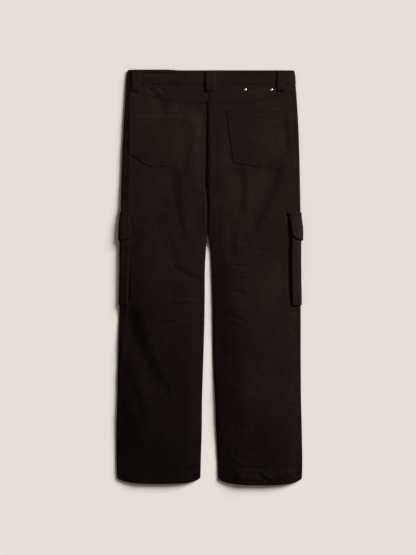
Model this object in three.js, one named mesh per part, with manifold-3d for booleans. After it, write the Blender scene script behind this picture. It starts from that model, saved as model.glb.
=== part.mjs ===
// Men's cargo pants in heavy cotton twill, laid flat with the back side up.
// Millimetres. +X runs to the right as seen from above, +Y towards the waist, +Z up from the surface.
// The origin is in the middle of the outline, on the surface that the pants lie on.
// Lengths along the garment are given as drops: the distance below the waist edge.

import * as THREE from "three";
import { mergeVertices } from "three/addons/utils/BufferGeometryUtils.js";
import Module from "manifold-3d";

const wasm = await Module();
wasm.setup();

// Driving dimensions
const LENGTH = 1083; // waist edge to the lowest point of the right hem
const CLOTH = 1.2; // twill
const DOUBLED = 2.4; // waistband and turned hems
const SEAM_GAP = 0.3; // between pieces that are sewn together
const BAND_DROP = 37; // depth of the waistband
const YOKE_DROP = 88; // lower edge of the yoke at the middle back
const CROTCH_DROP = 328;
const HEM_TURN = 26; // depth of the turned hem

// Edge rounding of a leg that lies flat
const EDGE_RADIUS = 8;
const EDGE_ARC = 10.5; // arc length given to a quarter turn at the side
const INNER_ARC = 12; // the same at the inseam and at the middle back

// Back patch pockets
const PATCH_MARGIN = 0.35; // clear of the panel below
const PATCH_BULGE = 1.3;

// Side cargo pockets and their flaps
const CARGO_TOP = 402; // mouth, under the flap
const CARGO_BOTTOM = 613;
const CARGO_OUT = 3; // how far it stands out past the leg
const FLAP_TOP = 372;
const FLAP_CLOTH = 2;
const CARGO_FRONT = 168; // reach round the front, from the side
const CARGO_BACK = 14; // reach onto the back, from the end of the side's rounding
const FLAP_BACK = { left: { top: 16, bottom: 17 }, right: { top: 25, bottom: 12 } };

// Belt loops
const LOOP_DROP = 57;
const LOOP_CLOTH = 1.4;
const LOOP_ARCH = 2.2;
const FRONT_LOOP = { reach: 118, width: 14 };

// Small hard parts
const STUD_DIAMETER = 7.6;
const STUD_HEIGHT = 2.2;
const BUTTON_DIAMETER = 17;
const BUTTON_HEIGHT = 2.4;
const BUTTON_PLACE = { x: -10, drop: 17 };

// Fly strip: its straight edge, its width, and the drops where it starts to curve in and ends
const FLY = { edge: -4, width: 36, bend: 190, curve: 44, bottom: 230 };

// Colours
const TWILL = 0x2a211d;
const TWILL_EDGE = 0x251d1a;
const METAL = 0xb9b6ae;
const BUTTON = 0x1c1715;

const SIDES = [
  { name: "left", sign: -1 },
  { name: "right", sign: 1 },
];

// Outline of each leg without its cargo pocket, seen from above. Each value is the distance of an edge
// from the middle line, counted outwards on its own side.
const OUTLINE = [
  { drop: 0, leftOut: 213.5, leftIn: 3, rightIn: -3, rightOut: 220.5 },
  { drop: 14, leftOut: 216, leftIn: 3, rightIn: -3, rightOut: 223.5 },
  { drop: 37, leftOut: 218.3, leftIn: 3.2, rightIn: -3.2, rightOut: 225.2 },
  { drop: 88, leftOut: 221, leftIn: 4.2, rightIn: -4.2, rightOut: 229 },
  { drop: 140, leftOut: 224, leftIn: 4.6, rightIn: -4.6, rightOut: 232 },
  { drop: 208, leftOut: 227.3, leftIn: 5.2, rightIn: -5.2, rightOut: 234.6 },
  { drop: 287, leftOut: 230, leftIn: 5.9, rightIn: -5.9, rightOut: 236.4 },
  { drop: 365, leftOut: 231.6, leftIn: 6.4, rightIn: -5.4, rightOut: 237.4 },
  { drop: 430, leftOut: 232, leftIn: 5.6, rightIn: -4.4, rightOut: 237 },
  { drop: 475, leftOut: 232.2, leftIn: 9.2, rightIn: 2.6, rightOut: 236.6 },
  { drop: 522, leftOut: 232.6, leftIn: 11.5, rightIn: 4.7, rightOut: 236.8 },
  { drop: 600, leftOut: 234.2, leftIn: 12, rightIn: 7.1, rightOut: 238 },
  { drop: 655, leftOut: 236, leftIn: 12.8, rightIn: 7.9, rightOut: 238.5 },
  { drop: 760, leftOut: 239, leftIn: 15.8, rightIn: 9.3, rightOut: 238.7 },
  { drop: 862, leftOut: 241, leftIn: 19, rightIn: 14.2, rightOut: 239.5 },
  { drop: 940, leftOut: 243, leftIn: 19.8, rightIn: 16.8, rightOut: 241.4 },
  { drop: 1020, leftOut: 243, leftIn: 22.2, rightIn: 20.9, rightOut: 242.8 },
  { drop: 1083, leftOut: 240.6, leftIn: 23.6, rightIn: 23.2, rightOut: 241.4 },
];

// Height of the upper skin before its folds, and how far the two skins close on each other at the
// middle back (upper) and the middle front (lower): 0 open, 1 closed at half height.
const LOFT = [
  { drop: 0, side: 9, middle: 9, centre: 9, upperClose: 0, lowerClose: 0, innerRadius: 14 },
  { drop: 88, side: 10.5, middle: 10.5, centre: 10, upperClose: 0, lowerClose: 0, innerRadius: 14 },
  { drop: 130, side: 11.5, middle: 12, centre: 12, upperClose: 0.25, lowerClose: 0, innerRadius: 14 },
  { drop: 210, side: 12, middle: 13, centre: 14, upperClose: 0.75, lowerClose: 0, innerRadius: 13 },
  { drop: 290, side: 12, middle: 12.5, centre: 14, upperClose: 0.95, lowerClose: 0.2, innerRadius: 12 },
  { drop: 328, side: 12, middle: 12, centre: 13.5, upperClose: 1, lowerClose: 1, innerRadius: 11 },
  { drop: 430, side: 12, middle: 11, centre: 12.5, upperClose: 1, lowerClose: 1, innerRadius: 10 },
  { drop: 600, side: 12, middle: 10.5, centre: 12, upperClose: 1, lowerClose: 1, innerRadius: 10 },
  { drop: 800, side: 12, middle: 10, centre: 12, upperClose: 1, lowerClose: 1, innerRadius: 10 },
  { drop: 1083, side: 10.5, middle: 9.8, centre: 10.5, upperClose: 1, lowerClose: 1, innerRadius: 9 },
];

// The left side seam has rolled onto the back: its distance in from the left edge.
const LEFT_SEAM = [
  { drop: 0, inset: 5 },
  { drop: 60, inset: 8 },
  { drop: 130, inset: 12 },
  { drop: 340, inset: 18 },
  { drop: 450, inset: 17 },
  { drop: 640, inset: 12 },
  { drop: 780, inset: 3 },
  { drop: 880, inset: 0 },
  { drop: 1083, inset: 0 },
];

// The largest folds of the upper skin. Each runs from one end past a middle point to the other end, as
// [x, drop]. Width is from its line to where it dies out, and rise is below zero for a trough.
const FOLDS = [
  { name: "left waist hollow", from: [-130, 62], past: [-127, 92], to: [-122, 128], width: 24, rise: -2 },
  { name: "left seat ridge", from: [-27, 106], past: [-30, 215], to: [-24, 326], width: 14, rise: 2.2 },
  { name: "left inner thigh", from: [-85, 247], past: [-86, 370], to: [-61, 496], width: 18, rise: -4 },
  { name: "left middle thigh", from: [-129, 287], past: [-119, 400], to: [-88, 512], width: 20, rise: -4 },
  { name: "left knee crease", from: [-100, 488], past: [-66, 535], to: [-14, 551], width: 16, rise: -4.2 },
  { name: "left knee crossing", from: [-110, 593], past: [-65, 590], to: [-13, 600], width: 14, rise: -2.6 },
  { name: "left shin crossing", from: [-112, 660], past: [-70, 652], to: [-15, 650], width: 14, rise: -2.2 },
  { name: "left shin hollow", from: [-206, 600], past: [-165, 735], to: [-121, 865], width: 30, rise: -3.2 },
  { name: "left calf ridge", from: [-178, 796], past: [-156, 860], to: [-134, 970], width: 26, rise: 1.8 },
  { name: "left hem fold", from: [-78, 1046], past: [-54, 1018], to: [-26, 1008], width: 13, rise: -2.4 },
  { name: "right inner thigh", from: [67, 255], past: [74, 380], to: [57, 508], width: 18, rise: -3.6 },
  { name: "right outer thigh", from: [174, 242], past: [141, 335], to: [96, 436], width: 20, rise: -3.4 },
  { name: "right thigh ridge", from: [93, 326], past: [105, 410], to: [120, 500], width: 22, rise: 2 },
  { name: "right knee crease", from: [40, 560], past: [62, 572], to: [90, 583], width: 13, rise: -2.2 },
  { name: "right shin crease", from: [53, 630], past: [70, 652], to: [96, 675], width: 13, rise: -2 },
  { name: "right hem fold", from: [112, 1040], past: [134, 1056], to: [154, 1072], width: 13, rise: -2 },
];
const FOLD_STEPS = 10;
const FOLD_END = 0.22; // share of a fold over which each end dies out

// What lies under the front and lifts it off the surface. Reach is the way back down to the surface.
const UNDERLIES = [
  { name: "left cargo pocket", x: [-260, -50], drop: [FLAP_TOP, CARGO_BOTTOM], rise: 4.6, reach: 34 },
  { name: "right cargo pocket", x: [50, 260], drop: [FLAP_TOP, CARGO_BOTTOM], rise: 4.6, reach: 34 },
  { name: "left flap", x: [-260, -50], drop: [FLAP_TOP - 4, 456], rise: 6.4, reach: 30 },
  { name: "right flap", x: [50, 260], drop: [FLAP_TOP - 4, 456], rise: 6.4, reach: 30 },
  { name: "front loops", x: [-150, 150], drop: [0, 70], rise: 2.1, reach: 40 },
  { name: "button", x: [-40, 20], drop: [0, 37], rise: 3, reach: 30 },
  { name: "fly", x: [-70, 8], drop: [37, 250], rise: 1.8, reach: 26 },
];

// Rows of the panels, from the waistband seam to the hem, as drops at the middle of the garment
const YOKE_ROWS = [37, 53, 70, 88];
const TORSO_ROWS = [88, 112, 142, 176, 212, 250, 286, 310, 328];
const LEG_ROWS = [
  350, 372, 400, 428, 456, 484, 510, 534, 560, 590, 613, 640, 668, 700, 740, 785, 835, 890, 950, 1010, 1057,
];

const clamp = (value, low, high) => Math.min(high, Math.max(low, value));
const mix = (a, b, share) => a + (b - a) * share;
const smooth = (share) => {
  const s = clamp(share, 0, 1);
  return s * s * (3 - 2 * s);
};
const place = (x, drop, z) => new THREE.Vector3(x, LENGTH / 2 - drop, z);

// Reads one column of a table at a drop, on a smooth curve through its rows.
function read(rows, column, drop) {
  const last = rows.length - 1;
  if (drop <= rows[0].drop) return rows[0][column];
  if (drop >= rows[last].drop) return rows[last][column];
  let i = 0;
  while (rows[i + 1].drop < drop) i++;
  const slope = (k) => {
    const before = rows[Math.max(0, k - 1)];
    const after = rows[Math.min(last, k + 1)];
    return (after[column] - before[column]) / (after.drop - before.drop);
  };
  const span = rows[i + 1].drop - rows[i].drop;
  const s = (drop - rows[i].drop) / span;
  const start = rows[i][column] * (1 + 2 * s) * (1 - s) ** 2;
  const end = rows[i + 1][column] * s * s * (3 - 2 * s);
  return start + end + span * (slope(i) * s * (1 - s) ** 2 - slope(i + 1) * s * s * (1 - s));
}

// A point of a fold's line, which is a curve through its three named points.
function foldPoint(fold, share) {
  const bend = [0, 1].map((k) => 2 * fold.past[k] - (fold.from[k] + fold.to[k]) / 2);
  return [0, 1].map(
    (k) => fold.from[k] * (1 - share) ** 2 + 2 * bend[k] * share * (1 - share) + fold.to[k] * share * share,
  );
}

for (const fold of FOLDS) {
  fold.line = Array.from({ length: FOLD_STEPS + 1 }, (_, k) => foldPoint(fold, k / FOLD_STEPS));
}

// How much one fold moves the upper skin at a place.
function foldRise(fold, x, drop) {
  let nearest = Infinity;
  let along = 0;
  for (let k = 0; k < FOLD_STEPS; k++) {
    const [ax, ad] = fold.line[k];
    const [bx, bd] = fold.line[k + 1];
    const length2 = (bx - ax) ** 2 + (bd - ad) ** 2;
    const t = clamp(((x - ax) * (bx - ax) + (drop - ad) * (bd - ad)) / length2, 0, 1);
    const distance = Math.hypot(x - mix(ax, bx, t), drop - mix(ad, bd, t));
    if (distance < nearest) {
      nearest = distance;
      along = (k + t) / FOLD_STEPS;
    }
  }
  if (nearest >= fold.width) return 0;
  const across = (1 - (nearest / fold.width) ** 2) ** 2;
  return fold.rise * across * smooth(along / FOLD_END) * smooth((1 - along) / FOLD_END);
}

// Height of the lower skin, which lies on the surface but for what is under it.
function underHeight(x, drop) {
  let height = 0;
  for (const piece of UNDERLIES) {
    const dx = Math.max(piece.x[0] - x, x - piece.x[1], 0);
    const dy = Math.max(piece.drop[0] - drop, drop - piece.drop[1], 0);
    height = Math.max(height, piece.rise * smooth(1 - Math.hypot(dx, dy) / piece.reach));
  }
  return height;
}

// Height of the upper skin, away from the rounded edges. Share runs from the side to the inner edge.
function overHeight(x, drop, share) {
  const side = read(LOFT, "side", drop);
  const middle = read(LOFT, "middle", drop);
  const centre = read(LOFT, "centre", drop);
  const inner = mix(middle, centre, smooth(2 * share - 1));
  const loft = share < 0.5 ? mix(side, middle, smooth(2 * share)) : inner;
  const folds = FOLDS.reduce((sum, fold) => sum + foldRise(fold, x, drop), 0);
  const under = underHeight(x, drop);
  return Math.max(loft + folds + 0.75 * under, under + 2 * CLOTH + 1);
}

// Edges of the yoke, the hem and the waist, which curve across the garment
function yokeEdge(side, x) {
  const share = Math.abs(x) / 225;
  const rise = side.sign < 0 ? 33 : 27;
  const start = side.sign < 0 ? 0.3 : 0.36;
  return YOKE_DROP - rise * smooth((share - start) / (1 - start));
}

function hemEdge(side, x) {
  const outer = read(OUTLINE, side.name + "Out", LENGTH);
  const inner = read(OUTLINE, side.name + "In", LENGTH);
  const across = Math.min(1, Math.abs((2 * (side.sign * x - inner)) / (outer - inner) - 1));
  const belly = side.sign < 0 ? 5 : 7;
  return LENGTH - 10 * across ** 8 - belly * across ** 2 - (side.sign < 0 ? 4 : 0);
}

function waistEdge(x) {
  return 2 * smooth((x + 115) / 45);
}

// Turns a row's nominal drop into the true one at x, so that rows follow those three edges.
function rowDrop(side, x, nominal) {
  if (nominal <= BAND_DROP) return nominal + waistEdge(x) * (1 - nominal / BAND_DROP);
  if (nominal <= YOKE_DROP) {
    const share = (nominal - BAND_DROP) / (YOKE_DROP - BAND_DROP);
    return mix(BAND_DROP, yokeEdge(side, x), share);
  }
  const below = 1 - clamp((nominal - YOKE_DROP) / (CROTCH_DROP - YOKE_DROP), 0, 1);
  const above = clamp((nominal - 900) / (LENGTH - 900), 0, 1);
  return nominal + (yokeEdge(side, x) - YOKE_DROP) * below + (hemEdge(side, x) - LENGTH) * above;
}

// The layers that wrap each side, from the leg outwards. Out is how far the layer's outer face stands
// past the leg, lift how far it stands above the leg on the back, and under its height at the front.
const LAYERS = {
  leg: { out: () => 0, lift: () => 0, under: (x, drop) => underHeight(x, drop) },
  cargo: {
    out: () => CARGO_OUT,
    lift: (side, drop) => {
      const open = side.sign < 0 ? 2.6 : 4.4;
      return CLOTH + 0.5 + open * smooth((drop - CARGO_TOP + 20) / 60) * mix(1, 0.8, (drop - 400) / 210);
    },
    under: (x, drop) => (FLAP_CLOTH + SEAM_GAP + 0.1) * smooth(1 - (drop - 446) / 14),
  },
  flap: {
    out: (side, drop) => {
      const flare = side.sign < 0 ? 2 : 4;
      return FLAP_CLOTH + 1 + (CARGO_OUT - 0.6 + flare * 0.6) * smooth((drop - FLAP_TOP) / 50);
    },
    lift: (side, drop) => {
      const over = LAYERS.cargo.lift(side, Math.max(drop, CARGO_TOP)) + 0.7;
      return FLAP_CLOTH + 0.7 + over * smooth((drop - FLAP_TOP - 6) / 24);
    },
    under: () => 0,
  },
};

// The section of a layer at one drop
function ringOf(side, layer, drop) {
  const outer = read(OUTLINE, side.name + "Out", drop);
  const inner = read(OUTLINE, side.name + "In", drop) + SEAM_GAP / 2;
  const innerRadius = read(LOFT, "innerRadius", drop);
  const out = LAYERS[layer].out(side, drop);
  return {
    side,
    layer,
    drop,
    outer: outer + out,
    inner,
    radius: EDGE_RADIUS + out,
    innerRadius,
    overClose: clamp(read(LOFT, "upperClose", drop), 0, 1),
    underClose: clamp(read(LOFT, "lowerClose", drop), 0, 1),
    total: EDGE_ARC + (outer - inner - EDGE_RADIUS - innerRadius) + INNER_ARC,
  };
}

// Distance from the middle line, outwards, of arc coordinate a. It is 0 on the side's edge, positive over
// the back and negative over the front, and a quarter turn long to each flat.
function reachOf(ring, a) {
  const arc = Math.abs(a);
  if (arc < EDGE_ARC) {
    return ring.outer - ring.radius * (1 - Math.cos(((arc / EDGE_ARC) * Math.PI) / 2));
  }
  const fromInner = ring.total - arc;
  if (fromInner < INNER_ARC) {
    const share = fromInner / INNER_ARC;
    const close = a < 0 ? ring.underClose : ring.overClose;
    return ring.inner + ring.innerRadius * mix(share, 1 - Math.cos((share * Math.PI) / 2), close);
  }
  return ring.outer - ring.radius - (arc - EDGE_ARC);
}

// A point on the outer face of a layer.
function skin(ring, a) {
  const { side, layer, drop } = ring;
  const reach = reachOf(ring, a);
  const x = side.sign * reach;
  const share = clamp((ring.outer - reach) / (ring.outer - ring.inner), 0, 1);
  const over = overHeight(x, drop, share) + LAYERS[layer].lift(side, drop);
  const under = LAYERS[layer].under(x, drop);
  const level = a < 0 ? under : over;
  const arc = Math.abs(a);
  let z = level;
  if (arc < EDGE_ARC) {
    const half = (over + under) / 2;
    z = mix(half, level, Math.sin(((arc / EDGE_ARC) * Math.PI) / 2));
  } else if (ring.total - arc < INNER_ARC) {
    const seam = mix(level, (over + under) / 2, a < 0 ? ring.underClose : ring.overClose);
    z = mix(seam, level, Math.sin((((ring.total - arc) / INNER_ARC) * Math.PI) / 2));
  }
  return place(x, drop, z);
}

// The same point moved along the face's normal. Depth is positive inwards.
function skinAt(side, layer, a, drop, depth = 0) {
  const ring = ringOf(side, layer, drop);
  const point = skin(ring, a);
  if (depth === 0) return point;
  const step = 0.25;
  const limit = ring.total;
  const along = skin(ring, clamp(a + step, -limit, limit)).sub(skin(ring, clamp(a - step, -limit, limit)));
  const down = skin(ringOf(side, layer, drop + 1), a).sub(skin(ringOf(side, layer, drop - 1), a));
  const normal = along.cross(down).normalize();
  return point.addScaledVector(normal, -side.sign * depth);
}

const evenly = (from, to, steps) => Array.from({ length: steps + 1 }, (_, k) => mix(from, to, k / steps));

// A closed mesh from the points of its outer and inner faces, both as rows of equal length.
function wallGeometry(outer, inner) {
  const rows = outer.length;
  const columns = outer[0].length;
  const points = [...outer.flat(), ...inner.flat()];
  const index = [];
  const at = (face, row, column) => face * rows * columns + row * columns + column;
  const quad = (a, b, c, d) => index.push(a, b, c, a, c, d);
  for (let i = 0; i + 1 < rows; i++) {
    for (let j = 0; j + 1 < columns; j++) {
      quad(at(0, i, j), at(0, i + 1, j), at(0, i + 1, j + 1), at(0, i, j + 1));
      quad(at(1, i, j), at(1, i, j + 1), at(1, i + 1, j + 1), at(1, i + 1, j));
    }
    quad(at(0, i + 1, 0), at(0, i, 0), at(1, i, 0), at(1, i + 1, 0));
    quad(at(0, i, columns - 1), at(0, i + 1, columns - 1), at(1, i + 1, columns - 1), at(1, i, columns - 1));
  }
  for (let j = 0; j + 1 < columns; j++) {
    quad(at(0, 0, j), at(0, 0, j + 1), at(1, 0, j + 1), at(1, 0, j));
    quad(at(0, rows - 1, j + 1), at(0, rows - 1, j), at(1, rows - 1, j), at(1, rows - 1, j + 1));
  }
  return closedGeometry(points, index);
}

// A geometry whose faces point outwards, whichever way its index was wound.
function closedGeometry(points, index) {
  let volume = 0;
  for (let k = 0; k < index.length; k += 3) {
    const [a, b, c] = [points[index[k]], points[index[k + 1]], points[index[k + 2]]];
    volume += a.dot(new THREE.Vector3().crossVectors(b, c));
  }
  if (volume < 0) {
    for (let k = 0; k < index.length; k += 3) {
      [index[k + 1], index[k + 2]] = [index[k + 2], index[k + 1]];
    }
  }
  const positions = points.flatMap((p) => [p.x, p.y, p.z]);
  const geometry = new THREE.BufferGeometry();
  geometry.setAttribute("position", new THREE.Float32BufferAttribute(positions, 3));
  geometry.setIndex(index);
  return geometry;
}

function solidOf(geometry) {
  const bare = new THREE.BufferGeometry();
  bare.setAttribute("position", geometry.getAttribute("position"));
  bare.setIndex(geometry.getIndex());
  const merged = mergeVertices(bare, 1e-4);
  return new wasm.Manifold(
    new wasm.Mesh({
      numProp: 3,
      vertProperties: new Float32Array(merged.attributes.position.array),
      triVerts: new Uint32Array(merged.index.array),
    }),
  );
}

function geometryOf(solid) {
  const mesh = solid.getMesh();
  const geometry = new THREE.BufferGeometry();
  geometry.setAttribute("position", new THREE.BufferAttribute(mesh.vertProperties, 3));
  geometry.setIndex(new THREE.BufferAttribute(mesh.triVerts, 1));
  return geometry;
}

const pants = new THREE.Group();

function addPiece(name, geometry, color = TWILL, roughness = 0.9, metalness = 0) {
  const material = new THREE.MeshStandardMaterial({ color, roughness, metalness });
  const mesh = new THREE.Mesh(geometry, material);
  mesh.name = name;
  pants.add(mesh);
  return mesh;
}

// Arc coordinate of the side seam. On the left it lies on the back, a little in from the edge.
function seamArc(side, drop) {
  if (side.sign > 0) return 0;
  const inset = read(LEFT_SEAM, "inset", drop);
  if (inset >= EDGE_RADIUS) return EDGE_ARC + inset - EDGE_RADIUS;
  return (EDGE_ARC * Math.acos(1 - Math.max(0, inset) / EDGE_RADIUS)) / (Math.PI / 2);
}

const BACK_COLUMNS = { edge: 3, flat: 13, inner: 3 };
const FRONT_COLUMNS = { leftEdge: 6, rightEdge: 3, flat: 5, inner: 3 };

// Arc coordinates of a back or front panel's columns at one section, from the side to the inner edge
function backColumns(ring) {
  const start = seamArc(ring.side, ring.drop) + SEAM_GAP;
  const edge = Math.max(EDGE_ARC, start + 6);
  const inner = ring.total - INNER_ARC;
  return [
    ...evenly(start, edge, BACK_COLUMNS.edge),
    ...evenly(edge, inner, BACK_COLUMNS.flat).slice(1),
    ...evenly(inner, ring.total, BACK_COLUMNS.inner).slice(1),
  ];
}

function frontColumns(ring) {
  const start = seamArc(ring.side, ring.drop) - SEAM_GAP;
  const inner = ring.total - INNER_ARC;
  return [
    ...evenly(start, -EDGE_ARC, FRONT_COLUMNS[ring.side.name + "Edge"]),
    ...evenly(-EDGE_ARC, -inner, FRONT_COLUMNS.flat).slice(1),
    ...evenly(-inner, -ring.total, FRONT_COLUMNS.inner).slice(1),
  ];
}

// At the inseam both panels stop just short of each other, half a seam gap from mid-height.
function clearOfInseam(point, ring, a) {
  const end = ring.total - Math.abs(a);
  if (end < 1e-6) point.z += (Math.sign(a) * SEAM_GAP) / 2;
  return point;
}

// The points of a panel's outer and inner faces. Rows are nominal drops, and thickness may vary with them.
function panelGrid(side, columnsOf, rows, thicknessOf) {
  const grid = { outer: [], inner: [] };
  for (const nominal of rows) {
    const rough = ringOf(side, "leg", nominal);
    const outer = [];
    const inner = [];
    columnsOf(rough).forEach((roughArc, column) => {
      const drop = rowDrop(side, side.sign * reachOf(rough, roughArc), nominal);
      const ring = ringOf(side, "leg", drop);
      const a = columnsOf(ring)[column];
      outer.push(clearOfInseam(skinAt(side, "leg", a, drop), ring, a));
      inner.push(clearOfInseam(skinAt(side, "leg", a, drop, thicknessOf(nominal)), ring, a));
    });
    grid.outer.push(outer);
    grid.inner.push(inner);
  }
  return grid;
}

// Leaves the seam gap above the first row or below the last one.
function trimRows(rows, first, last) {
  const trimmed = [...rows];
  trimmed[0] += first;
  trimmed[trimmed.length - 1] -= last;
  return trimmed;
}

const clothAt = (nominal) => (nominal > LENGTH - HEM_TURN - 1 ? DOUBLED : CLOTH);
const BODY_ROWS = [...TORSO_ROWS, ...LEG_ROWS, LENGTH];

// Panels and yokes
function addPanels(side) {
  const back = panelGrid(side, backColumns, trimRows(BODY_ROWS, SEAM_GAP, 0), clothAt);
  addPiece("back_" + side.name, wallGeometry(back.outer, back.inner));
  const yoke = panelGrid(side, backColumns, trimRows(YOKE_ROWS, SEAM_GAP, 0), () => CLOTH);
  addPiece("yoke_" + side.name, wallGeometry(yoke.outer, yoke.inner));
  const frontRows = trimRows([...YOKE_ROWS, ...BODY_ROWS.slice(1)], SEAM_GAP, 0);
  const front = panelGrid(side, frontColumns, frontRows, clothAt);
  addPiece("front_" + side.name, wallGeometry(front.outer, front.inner));
  return back;
}

// Waistband: the back part runs from side seam to side seam, and the two front parts meet over the fly.
const BAND_ROWS = [0, 12, 24, 37];
const BAND_STEP_OUT = 0.7; // the doubled band stands a little proud of the panels

function bandPoint(side, a, nominal, depth) {
  const rough = ringOf(side, "leg", nominal);
  const drop = rowDrop(side, side.sign * reachOf(rough, a), nominal);
  return skinAt(side, "leg", a, drop, depth);
}

function bandHalf(side, arcs, face) {
  const depth = face === "outer" ? (a) => (a > EDGE_ARC ? -BAND_STEP_OUT : 0) : () => DOUBLED - BAND_STEP_OUT;
  return BAND_ROWS.map((nominal) => {
    const ring = ringOf(side, "leg", nominal);
    return arcs(ring).map((a) => bandPoint(side, a, nominal, depth(a)));
  });
}

function addWaistband() {
  const flat = (ring) => ring.total - INNER_ARC;
  const backArcs = (ring) => {
    const seam = seamArc(ring.side, ring.drop);
    return [
      ...evenly(seam + SEAM_GAP, Math.max(EDGE_ARC, seam + 2), 3),
      ...evenly(EDGE_ARC + 6, flat(ring), 7),
      ring.total,
    ];
  };
  const join = (left, right) => left.map((row, i) => [...row, ...right[i].slice(0, -1).reverse()]);
  const outer = join(bandHalf(SIDES[0], backArcs, "outer"), bandHalf(SIDES[1], backArcs, "outer"));
  const inner = join(bandHalf(SIDES[0], backArcs, "inner"), bandHalf(SIDES[1], backArcs, "inner"));
  addPiece("waistband_back", wallGeometry(outer, inner), TWILL_EDGE);
  for (const side of SIDES) {
    const frontArcs = (ring) => [
      ...evenly(seamArc(side, ring.drop) - SEAM_GAP, -EDGE_ARC, 4),
      ...evenly(-EDGE_ARC, -flat(ring), 10).slice(1),
      -ring.total,
    ];
    const front = wallGeometry(bandHalf(side, frontArcs, "outer"), bandHalf(side, frontArcs, "inner"));
    addPiece("waistband_front_" + side.name, front, TWILL_EDGE);
  }
}

// Highest point of the back at a place, by the section that holds it.
function backHeight(x, drop) {
  const side = x < read(OUTLINE, "rightIn", drop) ? SIDES[0] : SIDES[1];
  const ring = ringOf(side, "leg", drop);
  const fromOuter = ring.outer - side.sign * x;
  const a = clamp(EDGE_ARC + fromOuter - EDGE_RADIUS, EDGE_ARC, ring.total - INNER_ARC);
  return skin(ring, a).z;
}

// Belt loops: a strap from the top of the waistband to below its seam, standing off it in the middle.
function addLoops() {
  const backLoops = [
    { name: "left", x: -192, width: 21 },
    { name: "centre", x: 2, width: 24 },
    { name: "right", x: 187, width: 22 },
  ];
  const steps = 6;
  for (const loop of backLoops) {
    const faces = { outer: [], inner: [] };
    for (let k = 0; k <= steps; k++) {
      const share = k / steps;
      const drop = mix(waistEdge(loop.x) + 0.4, LOOP_DROP, share);
      const arch = LOOP_ARCH * Math.sin(Math.PI * share) ** 0.7;
      const across = evenly(loop.x - loop.width / 2, loop.x + loop.width / 2, 2);
      const base = Math.max(...across.map((x) => backHeight(x, Math.min(drop, BAND_DROP))));
      const z = base + BAND_STEP_OUT + SEAM_GAP + 0.1 + arch;
      faces.inner.push(across.map((x) => place(x, drop, z)));
      faces.outer.push(across.map((x) => place(x, drop, z + LOOP_CLOTH)));
    }
    addPiece("loop_back_" + loop.name, wallGeometry(faces.outer, faces.inner), TWILL_EDGE);
  }
  for (const side of SIDES) {
    const middle = side.sign * FRONT_LOOP.reach;
    const edges = [middle - FRONT_LOOP.width / 2, middle + FRONT_LOOP.width / 2];
    const level = (z) => evenly(1, LOOP_DROP, 4).map((drop) => edges.map((x) => place(x, drop, z)));
    addPiece("loop_front_" + side.name, wallGeometry(level(LOOP_CLOTH), level(0)), TWILL_EDGE);
  }
}

// A patch cut from a slab that lies on a panel: the slab copies the panel's points, moved up.
function patchGeometry(grid, outline, liftAt) {
  const lift = (extra) => grid.outer.map((row) => row.map((p) => p.clone().setZ(p.z + liftAt(p) + extra)));
  const slab = solidOf(wallGeometry(lift(CLOTH), lift(0)));
  const prism = new THREE.ExtrudeGeometry(new THREE.Shape(outline), { depth: 60, bevelEnabled: false });
  prism.deleteAttribute("normal");
  prism.deleteAttribute("uv");
  return geometryOf(slab.intersect(solidOf(mergeVertices(prism, 1e-4))));
}

// Back patch pockets. Corners as [x outwards, drop], down one side and up the other.
const PATCH_ROWS = 7; // rows of the panel, from its top, that lie under them
const PATCHES = {
  left: [
    [210, 108],
    [61, 111],
    [65, 150],
    [74, 206],
    [84, 245],
    [108, 251],
    [146, 254],
    [166, 247],
    [211, 216],
  ],
  right: [
    [206, 106],
    [44, 106],
    [48, 143],
    [51, 168],
    [57, 201],
    [62, 242],
    [106, 249],
    [138, 255],
    [164, 247],
    [208, 222],
  ],
};

function addPatchPocket(side, back) {
  const part = { outer: back.outer.slice(0, PATCH_ROWS) };
  const corners = PATCHES[side.name];
  const outline = corners.map(([reach, drop]) => new THREE.Vector2(side.sign * reach, LENGTH / 2 - drop));
  const middle = new THREE.Vector2();
  for (const [reach, drop] of corners) middle.add(new THREE.Vector2(reach, drop));
  middle.divideScalar(corners.length);
  const liftAt = (p) => {
    const off = Math.hypot((side.sign * p.x - middle.x) / 90, (LENGTH / 2 - p.y - middle.y) / 85);
    return PATCH_MARGIN + PATCH_BULGE * smooth(1 - off);
  };
  addPiece("back_pocket_" + side.name, patchGeometry(part, outline, liftAt));
}

// A wall that wraps the side in one of the layers. Rows are drops, and edges give the arc coordinates
// of its two ends at a row's share of the way down.
function wrapGeometry(side, layer, rows, edges, thickness) {
  const faces = [0, thickness].map((depth) =>
    rows.map((drop, i) => {
      const [backEnd, frontEnd] = edges(i / (rows.length - 1));
      const arcs = [
        ...evenly(backEnd, EDGE_ARC, 2),
        ...evenly(EDGE_ARC, -EDGE_ARC, 6).slice(1),
        ...evenly(-EDGE_ARC, frontEnd, 4).slice(1),
      ];
      return arcs.map((a) => skinAt(side, layer, a, drop, depth));
    }),
  );
  return wallGeometry(faces[0], faces[1]);
}

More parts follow.
